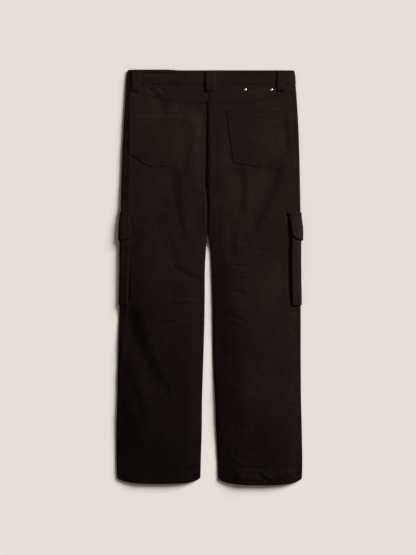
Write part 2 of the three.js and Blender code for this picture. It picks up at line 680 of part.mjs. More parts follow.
// The folded side strip of a cargo pocket stands between the leg and the pocket's outer panel, along its
// back edge, its bottom and its front edge.
function addGusset(side, backEnd) {
  const inset = 3;
  const sideRows = [460, 485, 512, 540, 567, 594];
  const back = backEnd - inset;
  const front = -(CARGO_FRONT - inset);
  const bottom = CARGO_BOTTOM - inset;
  const path = [
    ...sideRows.map((drop) => ({ a: back, drop, inward: [-CLOTH, 0] })),
    { a: back, drop: bottom, inward: [-CLOTH, -CLOTH] },
    ...[EDGE_ARC, 7, 3.5, 0, -3.5, -7, -EDGE_ARC].map((a) => ({ a, drop: bottom, inward: [0, -CLOTH] })),
    ...evenly(-40, front + 30, 3).map((a) => ({ a, drop: bottom, inward: [0, -CLOTH] })),
    { a: front, drop: bottom, inward: [CLOTH, -CLOTH] },
    ...sideRows.reverse().map((drop) => ({ a: front, drop, inward: [CLOTH, 0] })),
  ];
  const clear = SEAM_GAP + 0.15;
  const edge = (layer, depth, moved) =>
    path.map((p) => skinAt(side, layer, p.a + moved * p.inward[0], p.drop + moved * p.inward[1], depth));
  const outer = [edge("leg", -clear, 0), edge("cargo", CLOTH + clear, 0)];
  const inner = [edge("leg", -clear, 1), edge("cargo", CLOTH + clear, 1)];
  addPiece("cargo_gusset_" + side.name, wallGeometry(outer, inner), TWILL_EDGE);
}

function addCargoPocket(side) {
  const backEnd = EDGE_ARC + CARGO_BACK;
  const rows = [CARGO_TOP, 424, 446, 460, 485, 512, 540, 567, 594, CARGO_BOTTOM];
  const pocket = wrapGeometry(side, "cargo", rows, () => [backEnd, -CARGO_FRONT], CLOTH);
  addPiece("cargo_pocket_" + side.name, pocket);
  const flapBack = FLAP_BACK[side.name];
  const flapRows = [FLAP_TOP, 380, 390, 402, 418, 432, 445];
  const ends = (share) => [EDGE_ARC + mix(flapBack.top, flapBack.bottom, share), -(CARGO_FRONT + 4)];
  addPiece("cargo_flap_" + side.name, wrapGeometry(side, "flap", flapRows, ends, FLAP_CLOTH), TWILL_EDGE);
  addGusset(side, backEnd);
}

// Small hard parts
function domeGeometry(diameter, height) {
  const radius = diameter / 2;
  const profile = [
    new THREE.Vector2(0, 0),
    new THREE.Vector2(radius * 0.86, 0),
    new THREE.Vector2(radius, height * 0.25),
  ];
  for (let k = 1; k <= 3; k++) {
    const angle = (k / 3) * (Math.PI / 2);
    profile.push(new THREE.Vector2(radius * Math.cos(angle), height * (0.25 + 0.75 * Math.sin(angle))));
  }
  profile[profile.length - 1].x = 0;
  const dome = new THREE.LatheGeometry(profile, 16);
  dome.rotateX(Math.PI / 2);
  return dome;
}

function addStuds() {
  const studs = [
    { name: "stud_inner", x: 93.4, drop: 52.8 },
    { name: "stud_outer", x: 161.3, drop: 53.1 },
  ];
  for (const stud of studs) {
    const mesh = addPiece(stud.name, domeGeometry(STUD_DIAMETER, STUD_HEIGHT), METAL, 0.3, 1);
    mesh.position.set(stud.x, LENGTH / 2 - stud.drop, backHeight(stud.x, stud.drop) + SEAM_GAP);
  }
}

function addButton() {
  const radius = BUTTON_DIAMETER / 2;
  const profile = [
    [0, 0],
    [radius * 0.6, 0],
    [radius * 0.9, 0.2],
    [radius, BUTTON_HEIGHT / 2],
    [radius * 0.9, BUTTON_HEIGHT],
    [0, BUTTON_HEIGHT],
  ];
  const disc = new THREE.LatheGeometry(profile.map(([x, y]) => new THREE.Vector2(x, y)), 20);
  disc.rotateX(Math.PI / 2);
  const button = addPiece("waist_button", disc, BUTTON, 0.5);
  button.position.copy(place(BUTTON_PLACE.x, BUTTON_PLACE.drop, 0));
}

// The doubled strip that covers the zip lies on the front, under the panels as the pants lie here.
function addFly() {
  const rows = evenly(BAND_DROP + 2, FLY.bottom, 6);
  const widthAt = (drop) => FLY.width * Math.sqrt(1 - clamp((drop - FLY.bend) / FLY.curve, 0, 1) ** 2);
  const level = (z) =>
    rows.map((drop) => evenly(FLY.edge - widthAt(drop), FLY.edge, 2).map((x) => place(x, drop, z)));
  addPiece("fly_placket", wallGeometry(level(CLOTH), level(0)));
}

for (const side of SIDES) {
  const back = addPanels(side);
  addPatchPocket(side, back);
  addCargoPocket(side);
}
addWaistband();
addLoops();
addStuds();
addButton();
addFly();

export default pants;
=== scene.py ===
# Men's cargo pants in near-black cotton twill, laid flat with the back side up on a pale floor.
# Tables and functions are in millimetres, and meshes are in metres. +X runs to the right as seen from
# above, +Y towards the waist and +Z up from the surface. A drop is a distance below the waist edge.
# Each leg is a flat tube. Arc coordinate a runs round it: 0 on the side's edge, positive over the back
# and negative over the front, up to the tube's total at the inseam or the middle seam.

import math

import bmesh
import bpy
import numpy as np
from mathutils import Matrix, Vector
from mathutils.bvhtree import BVHTree


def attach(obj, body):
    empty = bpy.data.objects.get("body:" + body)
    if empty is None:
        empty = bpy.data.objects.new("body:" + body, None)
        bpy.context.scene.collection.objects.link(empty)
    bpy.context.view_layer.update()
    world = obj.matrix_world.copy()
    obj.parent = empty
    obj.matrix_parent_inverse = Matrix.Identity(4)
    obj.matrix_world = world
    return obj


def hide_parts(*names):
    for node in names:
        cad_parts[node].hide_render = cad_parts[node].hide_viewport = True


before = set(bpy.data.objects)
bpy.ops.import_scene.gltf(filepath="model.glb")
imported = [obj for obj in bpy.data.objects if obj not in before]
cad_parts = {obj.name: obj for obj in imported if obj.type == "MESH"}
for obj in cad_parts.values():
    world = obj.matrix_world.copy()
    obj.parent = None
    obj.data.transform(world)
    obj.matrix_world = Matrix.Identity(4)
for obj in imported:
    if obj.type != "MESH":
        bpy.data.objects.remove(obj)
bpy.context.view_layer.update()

MM = 0.001

# Sizes of the garment
LENGTH = 1083
CLOTH = 1.2
DOUBLED = 2.4
SEAM_GAP = 0.3
BAND_DROP = 37
YOKE_DROP = 88
CROTCH_DROP = 328
HEM_TURN = 26
EDGE_RADIUS = 8
EDGE_ARC = 10.5
INNER_ARC = 12
CARGO_TOP = 402
CARGO_BOTTOM = 613
CARGO_OUT = 3
CARGO_BACK = 14
CARGO_FRONT = 168
FLAP_TOP = 372
FLAP_BOTTOM = 445
FLAP_CLOTH = 2
FLAP_BACK = {"left": (16, 17), "right": (25, 12)}  # how far the flap's top and bottom reach over the back
FLAP_DRAWN_UP = {"left": 4, "right": 11}
GUSSET_CLOTH = 0.6
GUSSET_INSET = 2.0
GUSSET_FOLD = 4.0
LOOP_DROP = 57
LOOP_CLOTH = 1.1
BAND_STEP_OUT = 0.7
PATCH_MARGIN = 0.25
PATCH_CLOTH = 0.65
PATCH_BULGE = 1.3
PATCH_SIZE = 145  # its mean width and length, for distances from its edges
FLY = {"edge": -4, "width": 36, "bend": 190, "curve": 44, "bottom": 230}

# Sizes of the finer form
GRAIN = 2.5  # spacing of a mesh's rows and columns
TUCK = 4  # how far a panel's edge reaches under the one sewn over it
TUCK_SINK = 1.9
SEAM_RISE = 0.75  # the seam allowance under a topstitched edge lifts it
SEAM_WIDTH = 9
STITCH = (3.4, 2.6, 0.55)  # pitch, length and thickness of topstitching
TACK = (1.7, 1.5, 0.7)  # the same for the tacks of the belt loops
NEAR_ROW = 2.2  # distances of the two rows of topstitching from their seam
FAR_ROW = 8.2
SEWN_ROWS = (NEAR_ROW, FAR_ROW)
HEM_ROW = 2.5  # distance of the hem's stitches from where its turned edge ends
ROW_STEPS = 90

# Where each piece lies in the flat cloth that the weave is drawn on, sideways or downwards, so that
# neighbours don't share their threads
WEAVE_PLACE = {
    "yoke": 700,
    "patch": 400,
    "cargo": 1200,
    "flap": 1600,
    "band": 60,
    "front_band": 120,
    "back_loop": 300,
    "front_loop": 80,
    "fly": 900,
}

# How the upper skin falls towards its edges and rises between them
SEAT_FALL = {"left": 3, "right": 1.4, "reach": 20}
LEFT_EDGE_FALL = {"leg": 6, "right_thigh": 9, "reach": 74}
RIGHT_EDGE_FALL = {"leg": 5, "reach": 38}
CROWN = {"left": 8, "right": 10, "start": 430, "flatter": 930, "flattened": 0.75}


class Side:
    def __init__(self, name, sign):
        self.name = name
        self.sign = sign


LEFT = Side("left", -1)
RIGHT = Side("right", 1)
SIDES = (LEFT, RIGHT)


def table(names, rows):
    return dict(zip(names, np.array(rows, dtype=float).T))


# Outline of each leg without its cargo pocket, seen from above, outwards from the middle line
OUTLINE = table(
    ("drop", "left_out", "left_in", "right_in", "right_out"),
    [
        (0, 213.5, 3, -3, 220.5),
        (14, 216, 3, -3, 223.5),
        (37, 218.3, 3.2, -3.2, 225.2),
        (88, 221, 4.2, -4.2, 229),
        (140, 224, 4.6, -4.6, 232),
        (208, 227.3, 5.2, -5.2, 234.6),
        (287, 230, 5.9, -5.9, 236.4),
        (365, 231.6, 6.4, -5.4, 237.4),
        (430, 232, 5.6, -4.4, 237),
        (475, 232.2, 9.2, 2.6, 236.6),
        (522, 232.6, 11.5, 4.7, 236.8),
        (600, 234.2, 12, 7.1, 238),
        (655, 236, 12.8, 7.9, 238.5),
        (760, 239, 15.8, 9.3, 238.7),
        (862, 241, 19, 14.2, 239.5),
        (940, 243, 19.8, 16.8, 241.4),
        (1020, 243, 22.2, 20.9, 242.8),
        (1083, 240.6, 23.6, 23.2, 241.4),
    ],
)

# Height of the upper skin before its folds, and how far the skins close on each other at the inner edge
LOFT = table(
    ("drop", "side", "middle", "centre", "over_close", "under_close", "inner_radius"),
    [
        (0, 9, 9, 9, 0, 0, 14),
        (88, 9.6, 10.5, 10, 0, 0, 14),
        (130, 10, 12, 12, 0.25, 0, 14),
        (210, 10.3, 13, 14, 0.75, 0, 13),
        (290, 10.8, 12.5, 14, 0.95, 0.2, 12),
        (328, 12, 12, 13.5, 1, 1, 11),
        (430, 12, 11, 12.5, 1, 1, 10),
        (600, 12, 10.5, 12, 1, 1, 10),
        (800, 12, 10, 12, 1, 1, 10),
        (1083, 10.5, 9.8, 10.5, 1, 1, 9),
    ],
)

# The left side seam has rolled onto the back: its distance in from the left edge
LEFT_SEAM = table(
    ("drop", "inset"),
    [(0, 5), (60, 8), (130, 12), (340, 18), (450, 17), (640, 12), (780, 3), (880, 0), (1083, 0)],
)


class Fold:
    """A ridge or trough along a curve through three points, given as (x, drop).

    Width is from its line to where it dies out on the upper or right side, and that times lean on the
    other side. Rise is below zero for a trough. Fade is the share of the line that each end dies out over.
    """

    STEPS = 10

    def __init__(self, start, past, end, width, rise, lean=None, fade=0.22):
        self.width = width
        self.rise = rise
        self.lean = lean or (1.7 if rise < 0 else 1)
        self.fade = fade
        start, past, end = (np.array(point, dtype=float) for point in (start, past, end))
        bend = 2 * past - (start + end) / 2
        share = np.linspace(0, 1, self.STEPS + 1)[:, None]
        self.line = start * (1 - share) ** 2 + 2 * bend * share * (1 - share) + end * share**2


# The largest folds of the back, left leg and then right leg, from the waist down
FOLDS = [
    Fold((-134, 62), (-129, 90), (-121, 127), 20, -2.3),
    Fold((-46, 124), (-61, 203), (-82, 260), 22, -2.4),
    Fold((-38, 104), (-35, 221), (-32, 348), 18, 0.8),
    Fold((-82, 245), (-94, 352), (-61, 475), 25, -3.2),
    Fold((-127, 308), (-112, 438), (-85, 517), 22, -2.6),
    Fold((-95, 501), (-61, 535), (-12, 551), 14, -1.5),
    Fold((-216, 610), (-181, 736), (-132, 850), 40, -7.4, lean=1.1),
    Fold((-206, 700), (-181, 804), (-148, 935), 22, 1.8),
    Fold((-77, 1055), (-53, 1040), (-17, 1032), 10, -2.3),
    Fold((67, 245), (83, 313), (70, 399), 23, -2.9),
    Fold((71, 381), (56, 438), (64, 496), 20, -2.6),
    Fold((179, 234), (148, 328), (88, 441), 26, -4.9),
    Fold((38, 339), (38, 430), (49, 535), 15, 1.1),
    Fold((96, 274), (98, 373), (117, 470), 17, 1.1),
    Fold((60, 1064), (140, 1062), (228, 1052), 27, 4.2, fade=0.15),
]

# The middle seam has sunk between the two halves of the seat, and the leg dips beside each cargo pocket
DIPS = [
    Fold((-8, 73), (-9, 200), (-10.5, 340), 6, -7.0, lean=1, fade=0.16),
    Fold((-15, 76), (-17, 200), (-19, 335), 12, -3.0, lean=3, fade=0.14),
    Fold((-8, 90), (-8, 210), (-9, 345), 46, -3.4, lean=0.9, fade=0.15),
    Fold((-208, 374), (-209, 480), (-213, 612), 6, -2.0, lean=1, fade=0.06),
    Fold((205, 376), (208, 405), (213, 440), 7, -3.2, lean=1.2, fade=0.1),
    Fold((212, 432), (209, 525), (214, 613), 6, -3.2, lean=1.2, fade=0.05),
]

# Finer creases of the back, left leg and then right leg, from the waist down
CREASES = [
    Fold((-161, 45), (-150, 56), (-137, 70), 7, -0.9),
    Fold((-132, 43), (-121, 55), (-108, 71), 6, -1.0),
    Fold((-147, 41), (-134, 54), (-120, 70), 6, 0.7),
    Fold((-87, 88), (-82, 96), (-72, 106), 5, -0.9),
    Fold((-20, 312), (-28, 368), (-24, 468), 28, -4.2, lean=1.5),
    Fold((-100, 491), (-74, 526), (-14, 549), 4.5, -1.1),
    Fold((-111, 594), (-72, 591), (-13, 598), 4.5, -1.2),
    Fold((-103, 604), (-61, 602), (-17, 608), 8, 0.8),
    Fold((-128, 663), (-106, 659), (-83, 652), 6, -2.5, lean=2, fade=0.4),
    Fold((-95, 654), (-56, 647), (-14, 644), 4, -1),
    Fold((-116, 671), (-98, 668), (-74, 663), 7, 0.9),
    Fold((-129, 700), (-111, 681), (-85, 668), 14, 0.9),
    Fold((-104, 757), (-102, 817), (-90, 870), 12, 0.8),
    Fold((-95, 1046), (-56, 1034), (-14, 1021), 8, 2.4),
    Fold((-213, 904), (-197, 906), (-181, 914), 5, -0.9),
    Fold((59, 511), (77, 511), (96, 513), 4.5, -1.7),
    Fold((59, 547), (88, 544), (122, 547), 4.5, -1.2),
    Fold((59, 579), (75, 579), (96, 583), 7, -1.4),
    Fold((72, 449), (88, 448), (106, 451), 4, -0.9),
    Fold((114, 472), (135, 471), (156, 474), 4.5, -0.9),
    Fold((12, 644), (54, 640), (98, 663), 5.5, -0.85),
    Fold((54, 654), (75, 658), (98, 679), 9, 0.6),
    Fold((72, 930), (88, 929), (104, 930), 4, -0.9),
    Fold((206, 870), (216, 873), (229, 871), 6, -1.4),
    Fold((208, 663), (221, 679), (234, 697), 7, -1.2),
    Fold((77, 1040), (117, 1038), (156, 1040), 4.5, -1.2),
    Fold((77, 1048), (117, 1046), (156, 1048), 5, 0.9),
    Fold((119, 1051), (140, 1063), (158, 1076), 6, -1.7),
    Fold((132, 1050), (151, 1059), (172, 1072), 6, 1.2),
    Fold((192, 1049), (206, 1061), (224, 1075), 6, -1.2),
    Fold((161, 1041), (195, 1028), (229, 1014), 12, 1.5),
    Fold((46, 998), (70, 1019), (104, 1036), 12, 1.2),
    Fold((192, 124), (198, 166), (200, 213), 11, -1),
]

# Creases that run along or across the waistband
BAND_CREASES = [
    Fold((-188, 7), (-140, 9), (-88, 8), 6, -1.2),
    Fold((-176, 20), (-140, 22), (-104, 19), 8, 0.6),
    Fold((-70, 3), (-66, 18), (-69, 35), 8, -0.5),
    Fold((62, 2), (66, 18), (61, 36), 10, -0.4),
    Fold((132, 3), (136, 18), (131, 36), 10, 0.4),
]

# Hills and hollows of the lying cloth: their size, their height on the seat and on the lower legs, how
# far they slant, their length down the leg as a share of drop, and their seed
DRAPE = [
    (48, 0.5, 0.9, 0, 0.6, 11),
    (24, 0.22, 0.75, 0.35, 0.7, 12),
    (9.5, 0.1, 0.24, -0.3, 1, 13),
]

# What lies under the front and lifts it off the surface. Reach is the way back down to the surface.
UNDERLIES = [
    {"x": (-260, -50), "drop": (FLAP_TOP, CARGO_BOTTOM), "rise": 4.6, "reach": 34},
    {"x": (50, 260), "drop": (FLAP_TOP, CARGO_BOTTOM), "rise": 4.6, "reach": 34},
    {"x": (-260, -50), "drop": (FLAP_TOP - 4, 456), "rise": 6.4, "reach": 30},
    {"x": (50, 260), "drop": (FLAP_TOP - 4, 456), "rise": 6.4, "reach": 30},
    {"x": (-150, 150), "drop": (0, 70), "rise": 2.1, "reach": 40},
    {"x": (-40, 20), "drop": (0, 37), "rise": 3, "reach": 30},
    {"x": (-70, 8), "drop": (37, 250), "rise": 1.8, "reach": 26},
]

# Corners of the back patch pockets, as (x outwards, drop)
PATCHES = {
    "left": {
        "mouth": [(61, 111), (210, 108)],
        "inner": [(61, 111), (65, 150), (74, 206), (84, 245)],
        "outer": [(210, 108), (211, 216)],
        "bottom": [(84, 245), (108, 251), (146, 254), (166, 247), (211, 216)],
    },
    "right": {
        "mouth": [(44, 106), (206, 106)],
        "inner": [(44, 106), (48, 143), (51, 168), (57, 201), (62, 242)],
        "outer": [(206, 106), (208, 222)],
        "bottom": [(62, 242), (106, 249), (138, 255), (164, 247), (208, 222)],
    },
}

# Each back loop's middle, its width and how far it arches off the waistband
BACK_LOOPS = [("left", -192, 21, 0.3), ("centre", 2, 24, 0.5), ("right", 187, 22, 1.1)]
FRONT_LOOP = {"reach": 118, "width": 14}
STUDS = [("stud_inner", 93.4, 52.8), ("stud_outer", 161.3, 53.1)]
BUTTON_PLACE = (-10, 17)


def mix(a, b, share):
    return a + (b - a) * share


def smooth(share):
    s = np.clip(share, 0, 1)
    return s * s * (3 - 2 * s)


def read(rows, column, drop):
    """Reads one column of a table at drops, on a smooth curve through its rows."""
    drops = rows["drop"]
    values = rows[column]
    slopes = np.empty_like(values)
    slopes[1:-1] = (values[2:] - values[:-2]) / (drops[2:] - drops[:-2])
    slopes[0] = (values[1] - values[0]) / (drops[1] - drops[0])
    slopes[-1] = (values[-1] - values[-2]) / (drops[-1] - drops[-2])
    drop = np.clip(drop, drops[0], drops[-1])
    i = np.clip(np.searchsorted(drops, drop, side="right") - 1, 0, len(drops) - 2)
    span = drops[i + 1] - drops[i]
    s = (drop - drops[i]) / span
    start = values[i] * (1 + 2 * s) * (1 - s) ** 2
    end = values[i + 1] * s * s * (3 - 2 * s)
    return start + end + span * (slopes[i] * s * (1 - s) ** 2 - slopes[i + 1] * s * s * (1 - s))


def unevenness(x, y, size, seed):
    """Smooth hills and hollows of about that size, between -1 and 1, the same at each run."""
    angles = np.random.default_rng(seed).uniform(0, 2 * math.pi, (64, 64))
    across, down = np.asarray(x) / size, np.asarray(y) / size
    column, row = np.floor(across).astype(int), np.floor(down).astype(int)
    u, v = across - column, down - row

    def corner(right, below):
        angle = angles[(row + below) % 64, (column + right) % 64]
        return np.cos(angle) * (u - right) + np.sin(angle) * (v - below)

    ease_u, ease_v = smooth(u), smooth(v)
    upper = mix(corner(0, 0), corner(1, 0), ease_u)
    lower = mix(corner(0, 1), corner(1, 1), ease_u)
    return 1.5 * mix(upper, lower, ease_v)


def fold_rise(fold, x, drop):
    """How much one fold moves the cloth at each place."""
    rise = np.zeros(np.shape(x))
    reach = fold.width * max(fold.lean, 1)
    low = fold.line.min(axis=0) - reach
    high = fold.line.max(axis=0) + reach
    near = (x > low[0]) & (x < high[0]) & (drop > low[1]) & (drop < high[1])
    if not near.any():
        return rise
    px, pd = x[near], drop[near]
    distance = np.full(px.shape, np.inf)
    along = np.zeros(px.shape)
    width = np.full(px.shape, float(fold.width))
    for k in range(fold.STEPS):
        (ax, ad), (bx, bd) = fold.line[k], fold.line[k + 1]
        length2 = (bx - ax) ** 2 + (bd - ad) ** 2
        t = np.clip(((px - ax) * (bx - ax) + (pd - ad) * (bd - ad)) / length2, 0, 1)
        away = np.hypot(px - mix(ax, bx, t), pd - mix(ad, bd, t))
        nearer = away < distance
        distance[nearer] = away[nearer]
        along[nearer] = (k + t[nearer]) / fold.STEPS
        below = (bx - ax) * (pd - ad) - (bd - ad) * (px - ax) > 0
        width[nearer] = np.where(below[nearer], fold.lean, 1) * fold.width
    across = (1 - np.clip(distance / width, 0, 1) ** 2) ** 2
    rise[near] = fold.rise * across * smooth(along / fold.fade) * smooth((1 - along) / fold.fade)
    return rise


def folds_rise(folds, x, drop):
    return sum(fold_rise(fold, x, drop) for fold in folds)


def under_height(x, drop, spread=1):
    """Height of the lower skin, which lies on the surface but for what is under it."""
    height = np.zeros(np.shape(x))
    for piece in UNDERLIES:
        dx = np.maximum(np.maximum(piece["x"][0] - x, x - piece["x"][1]), 0)
        dy = np.maximum(np.maximum(piece["drop"][0] - drop, drop - piece["drop"][1]), 0)
        away = np.hypot(dx, dy) / (piece["reach"] * spread)
        height = np.maximum(height, piece["rise"] * smooth(1 - away))
    return height


def drape(x, drop):
    """Small unevenness of cloth that has been washed and laid down, longer down the leg than across."""
    low = smooth((drop - 540) / 200)
    return sum(
        mix(above, below, low) * unevenness(x + slant * drop, drop * squeeze, size, seed)
        for size, above, below, slant, squeeze, seed in DRAPE
    )


def slump(x, drop, to_outer, to_inner):
    """How far the upper skin falls towards its edges, widely on the left of each leg, and rises between."""
    on_left = x < 0
    to_left = np.where(on_left, to_outer, to_inner)
    to_right = np.where(on_left, to_inner, to_outer)
    leg = smooth((drop - CROTCH_DROP) / 150)
    seat_fall = np.where(on_left, SEAT_FALL["left"], SEAT_FALL["right"])
    seat = seat_fall * smooth(1 - to_outer / SEAT_FALL["reach"])
    right_leg = mix(LEFT_EDGE_FALL["right_thigh"], LEFT_EDGE_FALL["leg"], smooth((drop - 700) / 200))
    left_fall = np.where(on_left, LEFT_EDGE_FALL["leg"], right_leg)
    apart = left_fall * smooth(1 - to_left / LEFT_EDGE_FALL["reach"])
    apart = apart + RIGHT_EDGE_FALL["leg"] * smooth(1 - to_right / RIGHT_EDGE_FALL["reach"])
    share = to_left / (to_left + to_right)
    crown = np.where(on_left, CROWN["left"], CROWN["right"]) * smooth((drop - CROWN["start"]) / 200)
    crown = crown * (1 - CROWN["flattened"] * smooth((drop - CROWN["flatter"]) / 150))
    bow = crown * np.sin(math.pi * np.clip(share, 0, 1) ** 0.8)
    return bow - mix(seat, apart, leg)


def over_height(x, drop, share):
    """Height of the upper skin away from its rounded edges. Share runs from the side to the inner edge."""
    side, middle, centre = (read(LOFT, name, drop) for name in ("side", "middle", "centre"))
    to_middle = mix(side, middle, smooth(2 * share))
    to_centre = mix(middle, centre, smooth(2 * share - 1))
    loft = np.where(share < 0.5, to_middle, to_centre)
    left, right = (
        read(OUTLINE, name + "_out", drop) - read(OUTLINE, name + "_in", drop) for name in ("left", "right")
    )
    width = np.where(x < 0, left, right)
    raised = np.where(x < 0, 0.1, 0.6) * under_height(x, drop, spread=3)
    large = loft + folds_rise(FOLDS, x, drop) + folds_rise(DIPS, x, drop) + raised
    large = large + slump(x, drop, share * width, (1 - share) * width)
    lowest = under_height(x, drop) + 2 * CLOTH + 1
    return np.maximum(large + folds_rise(CREASES, x, drop) + drape(x, drop), lowest)


def yoke_edge(side, x):
    share = np.abs(x) / 225
    rise, start = (33, 0.3) if side.sign < 0 else (27, 0.36)
    return YOKE_DROP - rise * smooth((share - start) / (1 - start))


def hem_edge(side, x):
    outer = read(OUTLINE, side.name + "_out", LENGTH)
    inner = read(OUTLINE, side.name + "_in", LENGTH)
    across = np.minimum(1, np.abs(2 * (side.sign * x - inner) / (outer - inner) - 1))
    belly, shorter = (5, 4) if side.sign < 0 else (7, 0)
    return LENGTH - 10 * across**8 - belly * across**2 - shorter


def waist_edge(x):
    return 2 * smooth((np.asarray(x) + 115) / 45)


def row_drop(side, x, nominal):
    """Turns a row's nominal drop into the true one at x, so that rows follow the yoke, hem and waist."""
    band = nominal + waist_edge(x) * (1 - nominal / BAND_DROP)
    yoke = mix(BAND_DROP, yoke_edge(side, x), (nominal - BAND_DROP) / (YOKE_DROP - BAND_DROP))
    below = 1 - np.clip((nominal - YOKE_DROP) / (CROTCH_DROP - YOKE_DROP), 0, 1)
    above = np.clip((nominal - 900) / (LENGTH - 900), 0, 1)
    body = nominal + (yoke_edge(side, x) - YOKE_DROP) * below + (hem_edge(side, x) - LENGTH) * above
    return np.where(nominal <= BAND_DROP, band, np.where(nominal <= YOKE_DROP, yoke, body))


# The layers that wrap each side. Out is how far the layer's outer face stands past the leg, lift how
# far it stands above the leg on the back, and under its height at the front.
def nothing(_, drop):
    return np.zeros(np.shape(drop))


def cargo_out(side, drop):
    return np.full(np.shape(drop), float(CARGO_OUT))


def cargo_lift(side, drop):
    opened = 0.4 if side.sign < 0 else 4.0
    sag = mix(1, 0.8, (drop - 400) / 210)
    return CLOTH + 0.5 + opened * smooth((drop - CARGO_TOP + 20) / 60) * sag


def cargo_under(x, drop):
    return (FLAP_CLOTH + SEAM_GAP + 0.1) * smooth(1 - (drop - 446) / 14)


def flap_out(side, drop):
    flare = 2 if side.sign < 0 else 4
    return FLAP_CLOTH + 1 + (CARGO_OUT - 0.6 + flare * 0.6) * smooth((drop - FLAP_TOP) / 50)


def flap_lift(side, drop):
    over = cargo_lift(side, np.maximum(drop, CARGO_TOP)) + 0.7
    return FLAP_CLOTH + 0.7 + over * smooth((drop - FLAP_TOP - 6) / 24)


LAYERS = {
    "leg": (nothing, nothing, under_height),
    "cargo": (cargo_out, cargo_lift, cargo_under),
    "flap": (flap_out, flap_lift, nothing),
}


class Ring:
    """The section of a layer at each of an array of drops."""

    def __init__(self, side, layer, drop):
        self.side = side
        self.drop = drop
        out_at, self.lift, self.under = LAYERS[layer]
        leg = read(OUTLINE, side.name + "_out", drop)
        out = out_at(side, drop)
        self.outer = leg + out
        self.inner = read(OUTLINE, side.name + "_in", drop) + SEAM_GAP / 2
        self.radius = EDGE_RADIUS + out
        self.inner_radius = read(LOFT, "inner_radius", drop)
        self.over_close = np.clip(read(LOFT, "over_close", drop), 0, 1)
        self.under_close = np.clip(read(LOFT, "under_close", drop), 0, 1)
        flat = leg - self.inner - EDGE_RADIUS - self.inner_radius
        self.total = EDGE_ARC + flat + INNER_ARC

    def reach(self, a):
        """Distance outwards from the middle line."""
        arc = np.abs(a)
        edge = self.outer - self.radius * (1 - np.cos(arc / EDGE_ARC * math.pi / 2))
        flat = self.outer - self.radius - (arc - EDGE_ARC)
        share = np.clip((self.total - arc) / INNER_ARC, 0, 1)
        close = np.where(a < 0, self.under_close, self.over_close)
        inner = self.inner + self.inner_radius * mix(share, 1 - np.cos(share * math.pi / 2), close)
        return np.where(arc < EDGE_ARC, edge, np.where(self.total - arc < INNER_ARC, inner, flat))

    def arc_at(self, reach):
        """The arc coordinate over the back at a distance outwards, away from the inner rounding."""
        fall = np.clip(1 - (self.outer - reach) / self.radius, 0, 1)
        edge = EDGE_ARC * np.arccos(fall) / (math.pi / 2)
        flat = EDGE_ARC + self.outer - self.radius - reach
        return np.where(reach > self.outer - self.radius, edge, flat)

    def points(self, a, relief=None, under_relief=None):
        """Points of the layer's outer face. Relief adds to its height over the back."""
        a, drop = np.broadcast_arrays(a, self.drop)
        reach = self.reach(a)
        x = self.side.sign * reach
        share = np.clip((self.outer - reach) / (self.outer - self.inner), 0, 1)
        over = over_height(x, drop, share) + self.lift(self.side, drop)
        if relief is not None:
            over = over + relief(x, drop, a)
        under = self.under(x, drop)
        if under_relief is not None:
            under = under + under_relief(x, drop)
        level = np.where(a < 0, under, over)
        half = (over + under) / 2
        arc = np.abs(a)
        edge = mix(half, level, np.sin(np.clip(arc / EDGE_ARC, 0, 1) * math.pi / 2))
        close = np.where(a < 0, self.under_close, self.over_close)
        to_inner = np.clip((self.total - arc) / INNER_ARC, 0, 1)
        inner = mix(mix(level, half, close), level, np.sin(to_inner * math.pi / 2))
        z = np.where(arc < EDGE_ARC, edge, np.where(self.total - arc < INNER_ARC, inner, level))
        return np.stack([x, LENGTH / 2 - drop, z], axis=-1)


def seam_arc(side, drop):
    """Arc coordinate of the side seam. On the left it lies on the back, a little in from the edge."""
    if side.sign > 0:
        return np.zeros(np.shape(drop))
    inset = np.maximum(0, read(LEFT_SEAM, "inset", drop))
    rounded = EDGE_ARC * np.arccos(np.clip(1 - inset / EDGE_RADIUS, 0, 1)) / (math.pi / 2)
    return np.where(inset >= EDGE_RADIUS, EDGE_ARC + inset - EDGE_RADIUS, rounded)


def graded(start, end, spacing, fine=(), fine_spacing=1.0, fine_reach=5.0):
    """Positions from start to end, closer together near the places named as fine."""
    places = [float(start)]
    while places[-1] < end:
        near = min((abs(places[-1] - place) for place in fine), default=math.inf)
        share = float(smooth((near - fine_reach) / (3 * fine_reach)))
        places.append(places[-1] + mix(fine_spacing, spacing, share))
    places = np.array(places)
    return start + (places - start) * (end - start) / (places[-1] - start)


def normals(points, outwards):
    """Unit normals of a grid of points. Outwards is 1 or -1, for the way that the grid runs round."""
    along = np.gradient(points, axis=1)
    down = np.gradient(points, axis=0)
    normal = np.cross(along, down) * outwards
    return normal / np.maximum(np.linalg.norm(normal, axis=-1, keepdims=True), 1e-9)


def moved_in(points, depth, outwards):
    """A grid of points moved into the cloth, by one depth or by one for each point."""
    return points - normals(points, outwards) * np.asarray(depth)[..., None]


# Meshes
def mesh_object(name, points, faces, coordinates=None, smooth_faces=True):
    """An object from points in millimetres, turned so that its faces point outwards."""
    points = np.asarray(points, dtype=float) * MM
    corners = points[np.array([face[:3] for face in faces])]
    if np.einsum("ij,ij->i", corners[:, 0], np.cross(corners[:, 1], corners[:, 2])).sum() < 0:
        faces = [tuple(reversed(face)) for face in faces]
    mesh = bpy.data.meshes.new(name)
    mesh.from_pydata(points.tolist(), [], faces)
    mesh.polygons.foreach_set("use_smooth", np.full(len(mesh.polygons), smooth_faces))
    if coordinates is not None:
        corner = np.empty(len(mesh.loops), dtype=np.int32)
        mesh.loops.foreach_get("vertex_index", corner)
        layer = mesh.uv_layers.new(name="cloth")
        layer.data.foreach_set("uv", (np.asarray(coordinates)[corner] * MM).astype(np.float32).ravel())
    mesh.update()
    made = bpy.data.objects.new(name, mesh)
    bpy.context.scene.collection.objects.link(made)
    return made


